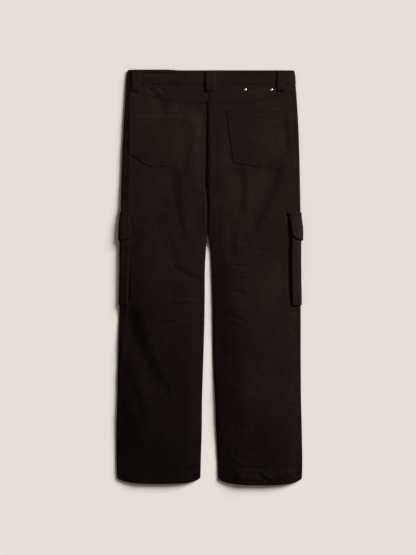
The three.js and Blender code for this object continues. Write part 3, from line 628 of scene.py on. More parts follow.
def border_of(rows, columns):
    """The grid's edge as row and column numbers, once round."""
    top = [(0, j) for j in range(columns - 1)]
    right = [(i, columns - 1) for i in range(rows - 1)]
    bottom = [(rows - 1, j) for j in range(columns - 1, 0, -1)]
    left = [(i, 0) for i in range(rows - 1, 0, -1)]
    return np.array(top + right + bottom + left)


def shell(name, outer, inner, coordinates):
    """A piece of cloth as a closed shell between two faces, with its cut or folded edges rounded."""
    rows, columns = outer.shape[:2]
    count = rows * columns
    border = border_of(rows, columns)
    i, j = border.T
    inside = outer[np.clip(i, 1, rows - 2), np.clip(j, 1, columns - 2)]
    away = outer[i, j] - inside
    away /= np.linalg.norm(away, axis=-1, keepdims=True)
    thickness = np.linalg.norm(outer[i, j] - inner[i, j], axis=-1, keepdims=True)
    rim = (outer[i, j] + inner[i, j]) / 2 + away * thickness * 0.3
    points = np.concatenate([outer.reshape(-1, 3), inner.reshape(-1, 3), rim])
    flat = coordinates.reshape(-1, 2)
    coordinates = np.concatenate([flat, flat, coordinates[i, j]])

    at = np.arange(count).reshape(rows, columns)
    quads = np.stack([at[:-1, :-1], at[1:, :-1], at[1:, 1:], at[:-1, 1:]], axis=-1).reshape(-1, 4)
    here = at[i, j]
    after = np.roll(here, -1)
    middle = 2 * count + np.arange(len(here))
    middle_after = np.roll(middle, -1)
    faces = np.concatenate(
        [
            quads,
            quads[:, ::-1] + count,
            np.stack([here, after, middle_after, middle], axis=-1),
            np.stack([middle, middle_after, after + count, here + count], axis=-1),
        ]
    )
    faces = [tuple(face) for face in faces.tolist()]
    return mesh_object(name, points, faces, coordinates)


def depth_of_tuck(position, seam):
    """How deep the part of an edge that reaches under its neighbour lies. Past the seam it is 0."""
    return TUCK_SINK * smooth((seam + 0.2 - position) / 0.9)


# Seams
def seam_relief(distance, along, seed, rise=SEAM_RISE):
    """Height of cloth beside a topstitched seam, whose allowance lies on the side of positive distance."""
    allowance = rise * smooth((distance + 0.3) / 1.2) * (1 - smooth((distance - SEAM_WIDTH + 1.5) / 3))
    pucker = 0.34 * np.exp(-((distance / 9) ** 2)) * unevenness(along, distance * 0.4, 7.5, seed)
    return allowance + pucker


def back_relief(side):
    def relief(x, drop, a):
        yoke = seam_relief(yoke_edge(side, x) - drop, x, 21, rise=0.16)
        inner = read(OUTLINE, side.name + "_in", drop)
        middle = np.where(drop < CROTCH_DROP + 30, side.sign * x - inner, 99.0)
        middle_seam = seam_relief(middle, drop, 22, rise=0.1)
        side_seam = seam_relief(a - seam_arc(side, drop), drop, 23)
        past_hem = drop - (hem_edge(side, x) - HEM_TURN)
        hem_pucker = 0.3 * np.exp(-((past_hem / 8) ** 2)) * unevenness(x + 0.8 * drop, drop * 0.3, 8.5, 24)
        hem = np.where(drop > 900, 0.5 * smooth(past_hem / 2) + hem_pucker, 0.0)
        below_band = 0.4 * np.exp(-(((drop - BAND_DROP) / 10) ** 2)) * unevenness(x, drop * 0.3, 9, 25)
        return yoke + middle_seam + side_seam + hem + below_band

    return relief


def front_relief(side):
    """The front lies on the surface, so its folds only stand off it a little."""

    def relief(x, drop):
        hollows = np.maximum(0, -folds_rise(FOLDS, x, drop)) * 0.3
        creases = np.maximum(0, -folds_rise(CREASES, x, drop)) * 0.5
        settle = 0.35 * np.maximum(0, unevenness(x, drop * 0.6, 30, 31))
        settle += 0.16 * np.maximum(0, unevenness(x + 0.3 * drop, drop, 12, 32))
        return hollows + creases + settle

    return relief


# Panels
BACK_SHARES = graded(0, 230, GRAIN, fine=(0, 230), fine_spacing=1.1, fine_reach=9) / 230
FRONT_SHARES = graded(0, 230, 4.0, fine=(0, 12, 230), fine_spacing=1.5, fine_reach=6) / 230


def panel_rows(top, bottom, spacing, fine, fine_spacing):
    """Nominal drops of a panel's rows, close together where its top edge is tucked under its neighbour."""
    tucked = graded(top - TUCK, top + 2, 1.0, fine=(top,), fine_spacing=0.6)
    return np.concatenate([tucked, graded(top + 2, bottom, spacing, fine, fine_spacing)[1:]])


HEM_LINES = (LENGTH - HEM_TURN, LENGTH)
BODY_ROWS = panel_rows(YOKE_DROP, LENGTH, 2.7, HEM_LINES, 1.3)
YOKE_ROWS = panel_rows(BAND_DROP, YOKE_DROP - SEAM_GAP, 2.2, (YOKE_DROP,), 1.0)
FRONT_ROWS = panel_rows(BAND_DROP, LENGTH, 4.4, HEM_LINES, 2.0)


def back_arcs(ring, shares):
    start = seam_arc(ring.side, ring.drop) + SEAM_GAP / 2
    return start + (ring.total - start) * shares


def front_arcs(ring, shares):
    start = seam_arc(ring.side, ring.drop) + TUCK
    return start + (-ring.total - start) * shares


def panel_grid(side, arcs, shares, nominals, under_relief=None):
    """Points of a panel's outer face, with its arc coordinates, nominal drops and section."""
    nominal = np.repeat(np.asarray(nominals)[:, None], len(shares), axis=1)
    rough = Ring(side, "leg", nominal)
    drop = row_drop(side, side.sign * rough.reach(arcs(rough, shares)), nominal)
    ring = Ring(side, "leg", drop)
    a = arcs(ring, shares)
    points = ring.points(a, back_relief(side), under_relief)
    at_end = ring.total - np.abs(a) < 1e-6
    points[..., 2] += np.where(at_end, np.sign(a) * SEAM_GAP / 4, 0)
    return points, a, nominal, ring


def panel_shell(name, side, outer, depth, cloth, flat, outwards=1):
    """A panel's shell. Depth is how far its tucked edges lie under the pieces sewn over them."""
    faces = [moved_in(outer, depth + extra, outwards * side.sign) for extra in (0, cloth)]
    return shell(name + side.name, *faces, np.stack(flat, axis=-1))


def hem_cloth(nominal):
    return mix(CLOTH, DOUBLED, smooth((nominal - (LENGTH - HEM_TURN)) / 1.5 + 0.5))


def make_back(side):
    outer, a, nominal, _ = panel_grid(side, back_arcs, BACK_SHARES, BODY_ROWS)
    depth = depth_of_tuck(nominal, YOKE_DROP)
    return panel_shell("back_panel_", side, outer, depth, hem_cloth(nominal), (side.sign * a, -nominal))


def make_yoke(side):
    outer, a, nominal, _ = panel_grid(side, back_arcs, BACK_SHARES, YOKE_ROWS)
    depth = depth_of_tuck(nominal, BAND_DROP)
    flat = (side.sign * (a + WEAVE_PLACE["yoke"]), -nominal)
    return panel_shell("yoke_panel_", side, outer, depth, CLOTH, flat)


def make_front(side):
    outer, a, nominal, ring = panel_grid(side, front_arcs, FRONT_SHARES, FRONT_ROWS, front_relief(side))
    depth = np.maximum(depth_of_tuck(nominal, BAND_DROP), depth_of_tuck(-a, -seam_arc(side, ring.drop)))
    flat = (side.sign * a, -nominal)
    return panel_shell("front_panel_", side, outer, depth, hem_cloth(nominal), flat, outwards=-1)


# Back patch pockets
def along(corners, shares):
    """Points at shares of the length of a line through corners."""
    corners = np.array(corners, dtype=float)
    steps = np.linalg.norm(np.diff(corners, axis=0), axis=1)
    length = np.concatenate([[0], np.cumsum(steps)])
    place = np.asarray(shares) * length[-1]
    return np.stack([np.interp(place, length, corners[:, k]) for k in (0, 1)], axis=-1)


def back_face(side, x, drop):
    """Height of the back's outer face."""
    ring = Ring(side, "leg", drop)
    return ring.points(ring.arc_at(side.sign * x), back_relief(side))[..., 2]


def make_patch_pocket(side):
    patch = PATCHES[side.name]
    u = graded(0, 150, 2.2, fine=(0, 150), fine_spacing=0.9) / 150
    v = graded(0, 140, 2.2, fine=(0, 20, 140), fine_spacing=0.9) / 140
    mouth, bottom = along(patch["mouth"], u)[None], along(patch["bottom"], u)[None]
    inner, outer = along(patch["inner"], v)[:, None], along(patch["outer"], v)[:, None]
    across, down = u[None, :, None], v[:, None, None]
    corner = [mouth[:, :1], mouth[:, -1:], bottom[:, :1], bottom[:, -1:]]
    upper, lower = mix(corner[0], corner[1], across), mix(corner[2], corner[3], across)
    spot = mix(mouth, bottom, down) + mix(inner, outer, across) - mix(upper, lower, down)
    x, drop = side.sign * spot[..., 0], spot[..., 1]

    to_edge = PATCH_SIZE * np.minimum(np.minimum(u, 1 - u)[None, :], (1 - v)[:, None])
    to_mouth = PATCH_SIZE * np.repeat(v[:, None], len(u), axis=1)
    arch = 1 - (2 * u[None, :] - 1) ** 2
    puff = PATCH_BULGE * arch * (1 - (2 * v[:, None] - 1) ** 4)
    turned = 0.22 * (1 - smooth((to_edge - 7) / 3))
    drawn_in = sum(np.exp(-(((to_edge - row) / 1.4) ** 2)) for row in SEWN_ROWS) * 0.3
    mouth_turned = 0.22 * (1 - smooth((to_mouth - 19) / 2.5))
    pucker = 0.3 * np.exp(-((to_edge / 9) ** 2)) * unevenness(x + 0.7 * drop, drop - 0.7 * x, 7.5, 41)
    gape = np.exp(-((to_mouth / 6) ** 2)) * arch
    lift = PATCH_MARGIN + PATCH_CLOTH + puff + np.maximum(turned, mouth_turned) - drawn_in + pucker + gape
    face = np.stack([x, LENGTH / 2 - drop, back_face(side, x, drop) + lift], axis=-1)
    below = moved_in(face, PATCH_CLOTH, -side.sign)
    # The grid runs from the inner edge outwards, so it turns the other way from a panel's.
    coordinates = np.stack([x + WEAVE_PLACE["patch"] * side.sign, -drop], axis=-1)
    return shell("patch_pocket_" + side.name, face, below, coordinates)


# Cargo pockets
def wrap_relief(edge_rise, seed, folds=()):
    def relief(x, drop, a):
        ripple = 0.3 * unevenness(drop + 0.5 * x, x, 16, seed) + 0.16 * unevenness(drop, x, 7, seed + 1)
        return ripple + edge_rise(drop, a) + folds_rise(folds, x, drop)

    return relief


def make_cargo_pocket(side):
    back_end = EDGE_ARC + CARGO_BACK
    arcs = graded(-CARGO_FRONT, back_end, 3.0, fine=(back_end, 0, -CARGO_FRONT), fine_spacing=1.0)[::-1]
    drops = graded(CARGO_TOP, CARGO_BOTTOM, 2.6, fine=(CARGO_BOTTOM,), fine_spacing=1.0)

    def edge_rise(drop, a):
        to_edge = np.minimum(back_end - a, CARGO_BOTTOM - drop)
        bulge = 0.8 * np.sin(math.pi * np.clip((drop - CARGO_TOP) / (CARGO_BOTTOM - CARGO_TOP), 0, 1))
        return 0.5 * (1 - smooth((to_edge - 6) / 3)) + bulge

    a, drop = np.meshgrid(arcs, drops)
    outer = Ring(side, "cargo", drop).points(a, wrap_relief(edge_rise, 51))
    inner = moved_in(outer, CLOTH, -side.sign)
    coordinates = np.stack([side.sign * (a + WEAVE_PLACE["cargo"]), -drop], axis=-1)
    return shell("cargo_pocket_panel_" + side.name, outer, inner, coordinates)


def make_cargo_flap(side):
    top_end, bottom_end = (EDGE_ARC + reach for reach in FLAP_BACK[side.name])
    shares = graded(0, 200, 3.0, fine=(0, 200), fine_spacing=1.0) / 200
    drops = graded(FLAP_TOP, FLAP_BOTTOM, 2.0, fine=(FLAP_TOP, FLAP_BOTTOM), fine_spacing=0.9)
    share, drop = np.meshgrid(shares, drops)
    start = mix(top_end, bottom_end, (drop - FLAP_TOP) / (FLAP_BOTTOM - FLAP_TOP))
    a = start + (-(CARGO_FRONT + 4) - start) * share
    drawn_up = FLAP_DRAWN_UP[side.name] * smooth(a / (EDGE_ARC + 12))
    drop = FLAP_TOP + (drop - FLAP_TOP) * (1 - drawn_up / (FLAP_BOTTOM - FLAP_TOP))

    def edge_rise(place, arc):
        to_edge = np.minimum(FLAP_BOTTOM - place, place - FLAP_TOP)
        return 0.25 * (1 - smooth((to_edge - 6) / 3))

    outer = Ring(side, "flap", drop).points(a, wrap_relief(edge_rise, 53))
    inner = moved_in(outer, FLAP_CLOTH, -side.sign)
    coordinates = np.stack([side.sign * (a + WEAVE_PLACE["flap"]), -drop], axis=-1)
    return shell("cargo_flap_panel_" + side.name, outer, inner, coordinates)


def make_gusset(side):
    """The folded strip between the leg and the cargo pocket's outer panel, round three of its edges."""
    back, front = EDGE_ARC + CARGO_BACK - GUSSET_INSET, -(CARGO_FRONT - GUSSET_INSET)
    bottom = CARGO_BOTTOM - GUSSET_INSET
    down = graded(440, bottom - 4, 4.0)
    across = graded(front + 4, back - 4, 4.0)[::-1]
    corner = [(back, bottom - 1.5), (back - 1.5, bottom)]
    far_corner = [(front + 1.5, bottom), (front, bottom - 1.5)]
    route = [(back, d) for d in down] + corner + [(a, bottom) for a in across] + far_corner
    route += [(front, d) for d in down[::-1]]
    a, drop = np.array(route).T
    middle_arc = np.clip(a, front + GUSSET_FOLD, back - GUSSET_FOLD)
    middle_drop = np.minimum(drop, bottom - GUSSET_FOLD)
    leg = Ring(side, "leg", drop).points(a, back_relief(side))
    cargo = Ring(side, "cargo", drop).points(a)
    leg_middle = Ring(side, "leg", middle_drop).points(middle_arc, back_relief(side))
    cargo_middle = Ring(side, "cargo", middle_drop).points(middle_arc)
    fold = (leg_middle + cargo_middle) / 2
    lower, upper = mix(leg, cargo, 0.1), mix(leg, cargo, 0.82)
    outer = np.stack([lower, mix(lower, fold, 0.5), fold, mix(fold, upper, 0.5), upper])
    inner = moved_in(outer, GUSSET_CLOTH, side.sign)
    coordinates = np.stack(np.meshgrid(np.arange(len(a)) * 4.0, np.arange(5) * 3.0), axis=-1)
    return shell("cargo_gusset_strip_" + side.name, outer, inner, coordinates)


# Waistband
BAND_ROWS = graded(0, BAND_DROP, 1.9, fine=(0, BAND_DROP), fine_spacing=0.9, fine_reach=3)


def band_relief(x, drop, a):
    pucker = 0.34 * unevenness(x + 0.6 * drop, drop * 0.5, 8.5, 61)
    edges = np.exp(-((np.minimum(drop, BAND_DROP - drop) / 7) ** 2))
    roll = 0.5 * unevenness(x * 0.5, drop, 22, 62)
    return folds_rise(BAND_CREASES, x, drop) + pucker * (0.35 + 0.65 * edges) + roll


def band_points(side, a, nominal):
    rough = Ring(side, "leg", nominal)
    drop = row_drop(side, side.sign * rough.reach(a), nominal)
    return Ring(side, "leg", drop).points(a, band_relief)


def band_grid(side, shares, way):
    """Nominal drops, section and arc coordinates of the waistband, over the back for way 1, or the front."""
    nominal = np.repeat(BAND_ROWS[:, None], len(shares), axis=1)
    ring = Ring(side, "leg", nominal)
    start = seam_arc(side, nominal) + way * SEAM_GAP / 2
    return nominal, ring, start + (way * ring.total - start) * shares


def make_waistband_back():
    halves = []
    shares = graded(0, 215, 2.5, fine=(0,), fine_spacing=1.0) / 215
    for side in SIDES:
        nominal, ring, a = band_grid(side, shares, 1)
        halves.append((band_points(side, a, nominal), side.sign * (ring.total - a), nominal))
    points, places, down = (np.concatenate([left, right[:, -2::-1]], axis=1) for left, right in zip(*halves))
    outer, inner = (moved_in(points, depth, -1) for depth in (-BAND_STEP_OUT, DOUBLED - BAND_STEP_OUT))
    coordinates = np.stack([places, -down + WEAVE_PLACE["band"]], axis=-1)
    return shell("waistband_strip_back", outer, inner, coordinates)


def make_waistband_front(side):
    shares = graded(0, 215, 3.5, fine=(0, 12), fine_spacing=1.0) / 215
    nominal, ring, a = band_grid(side, shares, -1)
    points = band_points(side, a, nominal)
    out = np.where(a > EDGE_ARC, BAND_STEP_OUT, BAND_STEP_OUT * smooth(a / EDGE_ARC))
    outer, inner = (moved_in(points, depth, -side.sign) for depth in (-out, DOUBLED - out))
    coordinates = np.stack([side.sign * (ring.total + a), -nominal + WEAVE_PLACE["front_band"]], axis=-1)
    return shell("waistband_strip_front_" + side.name, outer, inner, coordinates)


def band_face(x, drop):
    """Height of the waistband's outer face over the back."""
    side = LEFT if x < 3 else RIGHT
    place = np.array([[float(drop)]])
    ring = Ring(side, "leg", place)
    return float(ring.points(ring.arc_at(side.sign * x), band_relief)[0, 0, 2]) + BAND_STEP_OUT


# Belt loops
def make_back_loop(name, x, width, rise):
    shares = np.linspace(0, 1, 26)
    across = np.linspace(-1, 1, 9)
    levels = [back_face_at(x + width / 2 * c, LOOP_DROP) for c in (-1, 0, 1)]
    foot = max(levels) + 0.1
    head = max(band_face(x + width / 2 * c, 4) for c in (-1, 0, 1)) + 0.3
    waist = max(band_face(x + width / 2 * c, BAND_DROP - 2) for c in (-1, 0, 1)) + 0.3
    rows = []
    for share in shares:
        drop = mix(float(waist_edge(x)) + 0.4, LOOP_DROP, share)
        base = mix(mix(head, waist, smooth(share / 0.6)), foot, smooth((share - 0.6) / 0.4))
        arch = rise * math.sin(math.pi * share) ** 0.6
        crown = 0.35 * (1 - across**2) + 0.12 * np.exp(-(((np.abs(across) - 0.78) / 0.12) ** 2))
        z = base + arch + crown + LOOP_CLOTH
        rows.append(np.stack([x + across * width / 2, np.full(9, LENGTH / 2 - drop), z], axis=-1))
    outer = np.stack(rows)
    inner = moved_in(outer, LOOP_CLOTH, -1)
    coordinates = outer[..., :2] + np.array([WEAVE_PLACE["back_loop"] + x, 0])
    return shell("belt_loop_back_" + name, outer, inner, coordinates)


def back_face_at(x, drop):
    side = LEFT if x < 3 else RIGHT
    return float(back_face(side, np.array([[float(x)]]), np.array([[float(drop)]]))[0, 0])


def make_front_loop(side):
    across = np.linspace(-1, 1, 7)
    rows = []
    for drop in np.linspace(1, LOOP_DROP, 20):
        crown = 0.25 * (1 - np.abs(across) ** 3)
        x = side.sign * FRONT_LOOP["reach"] + across * FRONT_LOOP["width"] / 2
        rows.append(np.stack([x, np.full(7, LENGTH / 2 - drop), 0.25 - crown], axis=-1))
    outer = np.stack(rows)
    inner = outer + np.array([0, 0, LOOP_CLOTH - 0.25])
    coordinates = outer[..., :2] + np.array([0, WEAVE_PLACE["front_loop"]])
    return shell("belt_loop_front_" + side.name, outer, inner, coordinates)


# Fly
def make_fly():
    drops = np.linspace(BAND_DROP + 1, FLY["bottom"], 60)
    bend = np.clip((drops - FLY["bend"]) / FLY["curve"], 0, 1)
    width = FLY["width"] * np.sqrt(1 - bend**2)
    shares = np.linspace(0, 1, 14)
    x = FLY["edge"] - width[:, None] * (1 - shares)
    drop = np.repeat(drops[:, None], len(shares), axis=1)
    ripple = 0.12 * unevenness(x + drop, drop, 9, 71)
    z = 0.12 + np.abs(ripple)
    outer = np.stack([x, LENGTH / 2 - drop, z], axis=-1)
    inner = outer + np.array([0, 0, CLOTH - 0.3])
    return shell("fly_strip", outer, inner, outer[..., :2] + np.array([WEAVE_PLACE["fly"], 0]))


# Hard parts
def lathe(name, profile, x, drop, z, steps=40):
    """A closed round solid from a profile of (radius, height) that starts and ends on the axis."""
    points = [(0, 0, profile[0][1])]
    faces = []
    for radius, height in profile[1:-1]:
        for k in range(steps):
            turn = 2 * math.pi * k / steps
            points.append((radius * math.cos(turn), radius * math.sin(turn), height))
    points.append((0, 0, profile[-1][1]))
    last = len(points) - 1
    rings = len(profile) - 2
    for k in range(steps):
        after = (k + 1) % steps
        faces.append((0, 1 + after, 1 + k))
        for ring in range(rings - 1):
            low, high = 1 + ring * steps, 1 + (ring + 1) * steps
            faces.append((low + k, low + after, high + after, high + k))
        top = 1 + (rings - 1) * steps
        faces.append((top + k, top + after, last))
    shifted = np.array(points) + np.array([x, LENGTH / 2 - drop, z])
    return mesh_object(name, shifted, faces)


def make_stud(name, x, drop):
    rise = [(3.8 * math.cos(t), 0.7 + 1.5 * math.sin(t)) for t in np.linspace(0.1, 1.45, 9)]
    profile = [(0, 0), (3.3, 0), (3.75, 0.2), (3.85, 0.5), *rise, (0, 2.2)]
    return lathe(name + "_cap", profile, x, drop, back_face_at(x, drop) + 0.05)


def make_button():
    profile = [
        (0, 0.75),
        (4.6, 0.75),
        (5.4, 0.5),
        (6.0, 0.12),
        (7.2, 0.0),
        (8.1, 0.25),
        (8.5, 0.9),
        (8.5, 1.3),
        (8.1, 1.8),
        (6.0, 2.2),
        (0, 2.3),
    ]
    button = lathe("waist_button_disc", profile, *BUTTON_PLACE, 0.0, steps=56)
    holes = []
    for turn in (45, 135, 225, 315):
        x = BUTTON_PLACE[0] + 2.1 * math.cos(math.radians(turn))
        drop = BUTTON_PLACE[1] + 2.1 * math.sin(math.radians(turn))
        holes.append(lathe("hole", [(0, -1), (0.85, -1), (0.85, 4), (0, 4)], x, drop, 0, steps=16))
    for hole in holes:
        cut = button.modifiers.new("hole", "BOOLEAN")
        cut.object = hole
        cut.operation = "DIFFERENCE"
    graph = bpy.context.evaluated_depsgraph_get()
    bored = bpy.data.meshes.new_from_object(button.evaluated_get(graph))
    work = bmesh.new()
    work.from_mesh(bored)
    bmesh.ops.remove_doubles(work, verts=work.verts, dist=1e-6)
    bmesh.ops.dissolve_degenerate(work, dist=1e-7, edges=work.edges)
    work.to_mesh(bored)
    work.free()
    button.modifiers.clear()
    button.data = bored
    for hole in holes:
        bpy.data.objects.remove(hole)
    return button


# Topstitching
class Cloth:
    """A finished piece of cloth that stitches are laid on, from above or, for the front, from below."""

    def __init__(self, made, above=True):
        points = [vertex.co for vertex in made.data.vertices]
        faces = [tuple(face.vertices) for face in made.data.polygons]
        self.tree = BVHTree.FromPolygons(points, faces)
        self.start = 0.1 if above else -0.1
        self.way = Vector((0, 0, -1 if above else 1))

    def land(self, x, drop):
        """The place straight over x and drop on the cloth, and the way out of it, or nothing beside it."""
        start = Vector((x * MM, (LENGTH / 2 - drop) * MM, self.start))
        place, normal, _, _ = self.tree.ray_cast(start, self.way)
        return None if place is None else (np.array(place) / MM, np.array(normal))


def resample(row, pitch, length):
    """Starts and ends of stitches along a row of (x, drop)."""
    row = np.asarray(row, dtype=float)
    steps = np.linalg.norm(np.diff(row, axis=0), axis=1)
    run = np.concatenate([[0], np.cumsum(steps)])
    count = max(1, int(run[-1] // pitch))
    place = (np.arange(count)[:, None] + np.array([0, length / pitch])) * (run[-1] / count)
    return np.stack([np.interp(place, run, row[:, k]) for k in range(2)], axis=-1)


def stitch(start, end, up, thickness):
    """Points of one stitch: a short fat thread from start to end that dips into the cloth at its ends."""
    forward = end - start
    forward = forward / max(np.linalg.norm(forward), 1e-6)
    sideways = np.cross(forward, up)
    sideways /= max(np.linalg.norm(sideways), 1e-6)
    radius = thickness / 2
    points = [start - up * radius * 0.8]
    for share in (0.18, 0.82):
        middle = mix(start, end, share) + up * radius * 0.45
        for k in range(5):
            turn = 2 * math.pi * k / 5
            points.append(middle + radius * (math.cos(turn) * sideways + math.sin(turn) * up))
    points.append(end - up * radius * 0.8)
    return points


STITCH_FACES = (
    [(0, 1 + (k + 1) % 5, 1 + k) for k in range(5)]
    + [(1 + k, 1 + (k + 1) % 5, 6 + (k + 1) % 5, 6 + k) for k in range(5)]
    + [(6 + k, 6 + (k + 1) % 5, 11) for k in range(5)]
)


def sew(sewn, made, node, rows, name=None, above=True, gauge=STITCH):
    """Rows of stitches along lines of (x, drop) on a node's piece, added to what is sewn on it."""
    pitch, length, thickness = gauge
    cloth = Cloth(made[node], above)
    points = []
    faces = []
    for row in rows:
        for start, end in resample(row, pitch, length):
            first, second = cloth.land(*start), cloth.land(*end)
            if first is None or second is None or np.linalg.norm(first[0] - second[0]) > 2 * length:
                continue
            up = first[1] + second[1]
            up /= max(np.linalg.norm(up), 1e-6)
            base = len(points)
            points.extend(stitch(first[0], second[0], up, thickness))
            faces.extend(tuple(base + corner for corner in face) for face in STITCH_FACES)
    threads = mesh_object("stitches_" + (name or node), points, faces)
    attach(threads, "root")
    threads.data.materials.append(THREAD_FINISH)
    sewn.setdefault(node, []).append(threads)


def beside(corners, distance):
    """A line through corners moved sideways, towards the inside of a pocket that it runs round."""
    corners = np.array(corners, dtype=float)
    steps = np.diff(corners, axis=0)
    steps /= np.linalg.norm(steps, axis=1, keepdims=True)
    inwards = np.stack([steps[:, 1], -steps[:, 0]], axis=1)
    bends = np.concatenate([inwards[:1], inwards[:-1] + inwards[1:], inwards[-1:]])
    bends /= np.linalg.norm(bends, axis=1, keepdims=True)
    lean = np.concatenate([[1], (bends[1:-1] * inwards[:-1]).sum(axis=1), [1]])
    return corners + bends * distance / lean[:, None]


def row_across(low, high, drop_at):
    """A row from x low to high at the drop that drop_at gives."""
    x = np.linspace(low, high, ROW_STEPS)
    return np.stack([x, drop_at(x) + 0 * x], axis=1)


def row_down(side, layer, arc_at, low, high):
    """A row down a layer from drop low to high at the arc coordinate that arc_at gives."""
    drop = np.linspace(low, high, ROW_STEPS)
    return np.stack([side.sign * Ring(side, layer, drop).reach(arc_at(drop)), drop], axis=1)


def sew_side(sewn, side, made):
    """All rows on one side's pieces."""
    name, sign = side.name, side.sign
    outer = float(read(OUTLINE, name + "_out", 100))
    hem = row_across(sign * 27, sign * 236, lambda x: hem_edge(side, x) - HEM_TURN + HEM_ROW)

    near_edge = sign * (outer - 6)
    yoke = [row_across(sign * 5, near_edge, lambda x, d=d: yoke_edge(side, x) - d) for d in SEWN_ROWS]
    sew(sewn, made, "yoke_" + name, yoke)

    back = [hem]
    above_flap = FLAP_TOP - 3
    if side is LEFT:
        middle = np.linspace(YOKE_DROP + 3, CROTCH_DROP - 4, 60)
        inner = read(OUTLINE, "left_in", middle)
        back += [np.stack([-(inner + d + 1.5), middle], axis=1) for d in SEWN_ROWS]
        for d in SEWN_ROWS:
            back.append(row_down(side, "leg", lambda drop, d=d: seam_arc(LEFT, drop) + d, 60, above_flap))
    else:
        back.append(row_down(side, "leg", lambda drop: np.full(drop.shape, 9.5), 66, above_flap))
        back += [np.array([(207, 452), (202, 520), (207, 606)]) - (d, 0) for d in (0, 6)]
    back.append(row_down(side, "leg", lambda drop: seam_arc(side, drop) + 6, CARGO_BOTTOM + 4, 1052))
    sew(sewn, made, "back_" + name, back)

    patch = PATCHES[name]
    round_edge = patch["inner"] + patch["bottom"][1:] + patch["outer"][:-1]
    pocket = [beside(round_edge, d) * (sign, 1) for d in SEWN_ROWS]
    pocket += [(np.array(patch["mouth"]) + [(2, d), (-2, d)]) * (sign, 1) for d in (3, 19)]
    sew(sewn, made, "back_pocket_" + name, pocket)

    end, low_end = EDGE_ARC + CARGO_BACK, CARGO_BOTTOM - 2
    cargo = []
    for d in (2.5, 8):
        cargo.append(row_down(side, "cargo", lambda drop, d=d: np.full(drop.shape, end - d), 440, low_end))
    for d in (2.5, 8):
        cargo.append(row_across(sign * 215, sign * 237, lambda x, d=d: CARGO_BOTTOM - d))
    sew(sewn, made, "cargo_pocket_" + name, cargo)

    top_end, bottom_end = (EDGE_ARC + reach for reach in FLAP_BACK[name])

    def beside_end(drop):
        return mix(top_end, bottom_end, (drop - FLAP_TOP) / (FLAP_BOTTOM - FLAP_TOP)) - 5

    up = 4 if side is LEFT else 9
    flap = [row_down(side, "flap", beside_end, FLAP_TOP + 6, FLAP_BOTTOM - up - 4)]
    flap += [row_across(sign * 205, sign * 239, lambda x, d=d: FLAP_TOP + d) for d in (2.5, 7)]
    low = [(218, FLAP_BOTTOM - up - 5), (228, FLAP_BOTTOM - up * 0.7 - 5), (239, FLAP_BOTTOM - 6)]
    flap.append(np.array(low) * (sign, 1))
    sew(sewn, made, "cargo_flap_" + name, flap)

    front = [hem]
    rise = np.linspace(FLY["bottom"] + 4, CROTCH_DROP - 6, 30)
    if side is LEFT:
        inner = read(OUTLINE, "left_in", rise)
        front += [np.stack([-(inner + d + 1), rise], axis=1) for d in SEWN_ROWS]
    sew(sewn, made, "front_" + name, front, above=False)

    band = [row_across(sign * 12, sign * (outer - 8), lambda x, d=d: d + waist_edge(x)) for d in (7, 30)]
    sew(sewn, made, "waistband_front_" + name, band, above=False)

    middle = sign * FRONT_LOOP["reach"]
    loop_rows = [np.array([(middle + d, 5), (middle + d, LOOP_DROP - 4)]) for d in (-4.5, 4.5)]
    sew(sewn, made, "loop_front_" + name, loop_rows, above=False)


def sew_all(made):
    """All the topstitching. Returns lists of it by the node that it is sewn on."""
    sewn = {}
    for side in SIDES:
        sew_side(sewn, side, made)
    band = [row_across(-208, 214, lambda x, d=d: d + waist_edge(x)) for d in (7, 29.5)]
    sew(sewn, made, "waistband_back", band)
    for name, x, width, _ in BACK_LOOPS:
        loop = "loop_back_" + name
        edges = [np.array([(x + d, 4), (x + d, LOOP_DROP - 3)]) for d in (2.6 - width / 2, width / 2 - 2.6)]
        sew(sewn, made, loop, edges)
        tacks = [
            np.array([(x - width / 2 + 2, drop), (x + width / 2 - 2, drop)])
            for drop in (3.4, 4.3, LOOP_DROP - 5.2, LOOP_DROP - 4.3, LOOP_DROP - 3.4)
        ]
        sew(sewn, made, loop, tacks, name=loop + "_tacks", gauge=TACK)
    middle = np.linspace(BAND_DROP + 3, FLY["bottom"] - 4, 50)
    bend = np.clip((middle - FLY["bend"]) / (FLY["curve"] - 6), 0, 1)
    j_row = np.stack([FLY["edge"] - (FLY["width"] - 6) * np.sqrt(1 - bend**2), middle], axis=1)
    edge = np.array([(FLY["edge"] - 3, BAND_DROP + 3), (FLY["edge"] - 3, FLY["bend"])])
    sew(sewn, made, "fly_placket", [j_row, edge], above=False)
    return sewn


# Materials
TWILL_TINT = (0.0157, 0.0094, 0.0078)
RIB_PERIOD = 0.0011
YARN_PERIOD = 0.0006
# Painted shade: the cloth's colour darkens towards the lower left, away from the light, and stays lighter
# towards the upper right, where the light comes from. X + Y runs from minus to plus the first constant below
# along the garment, and each stop of the second gives a share of the way and what share of the tint is left.
PAINTED_SHADE_REACH = 0.58
PAINTED_SHADE_ALONG = [
    (0.0, 0.25),
    (0.06, 0.31),
    (0.2, 0.395),
    (0.29, 0.48),
    (0.36, 0.56),
    (0.45, 0.61),
    (0.53, 0.7),
    (0.62, 0.8),
    (0.7, 0.88),
    (0.77, 1.03),
    (0.86, 0.92),
]


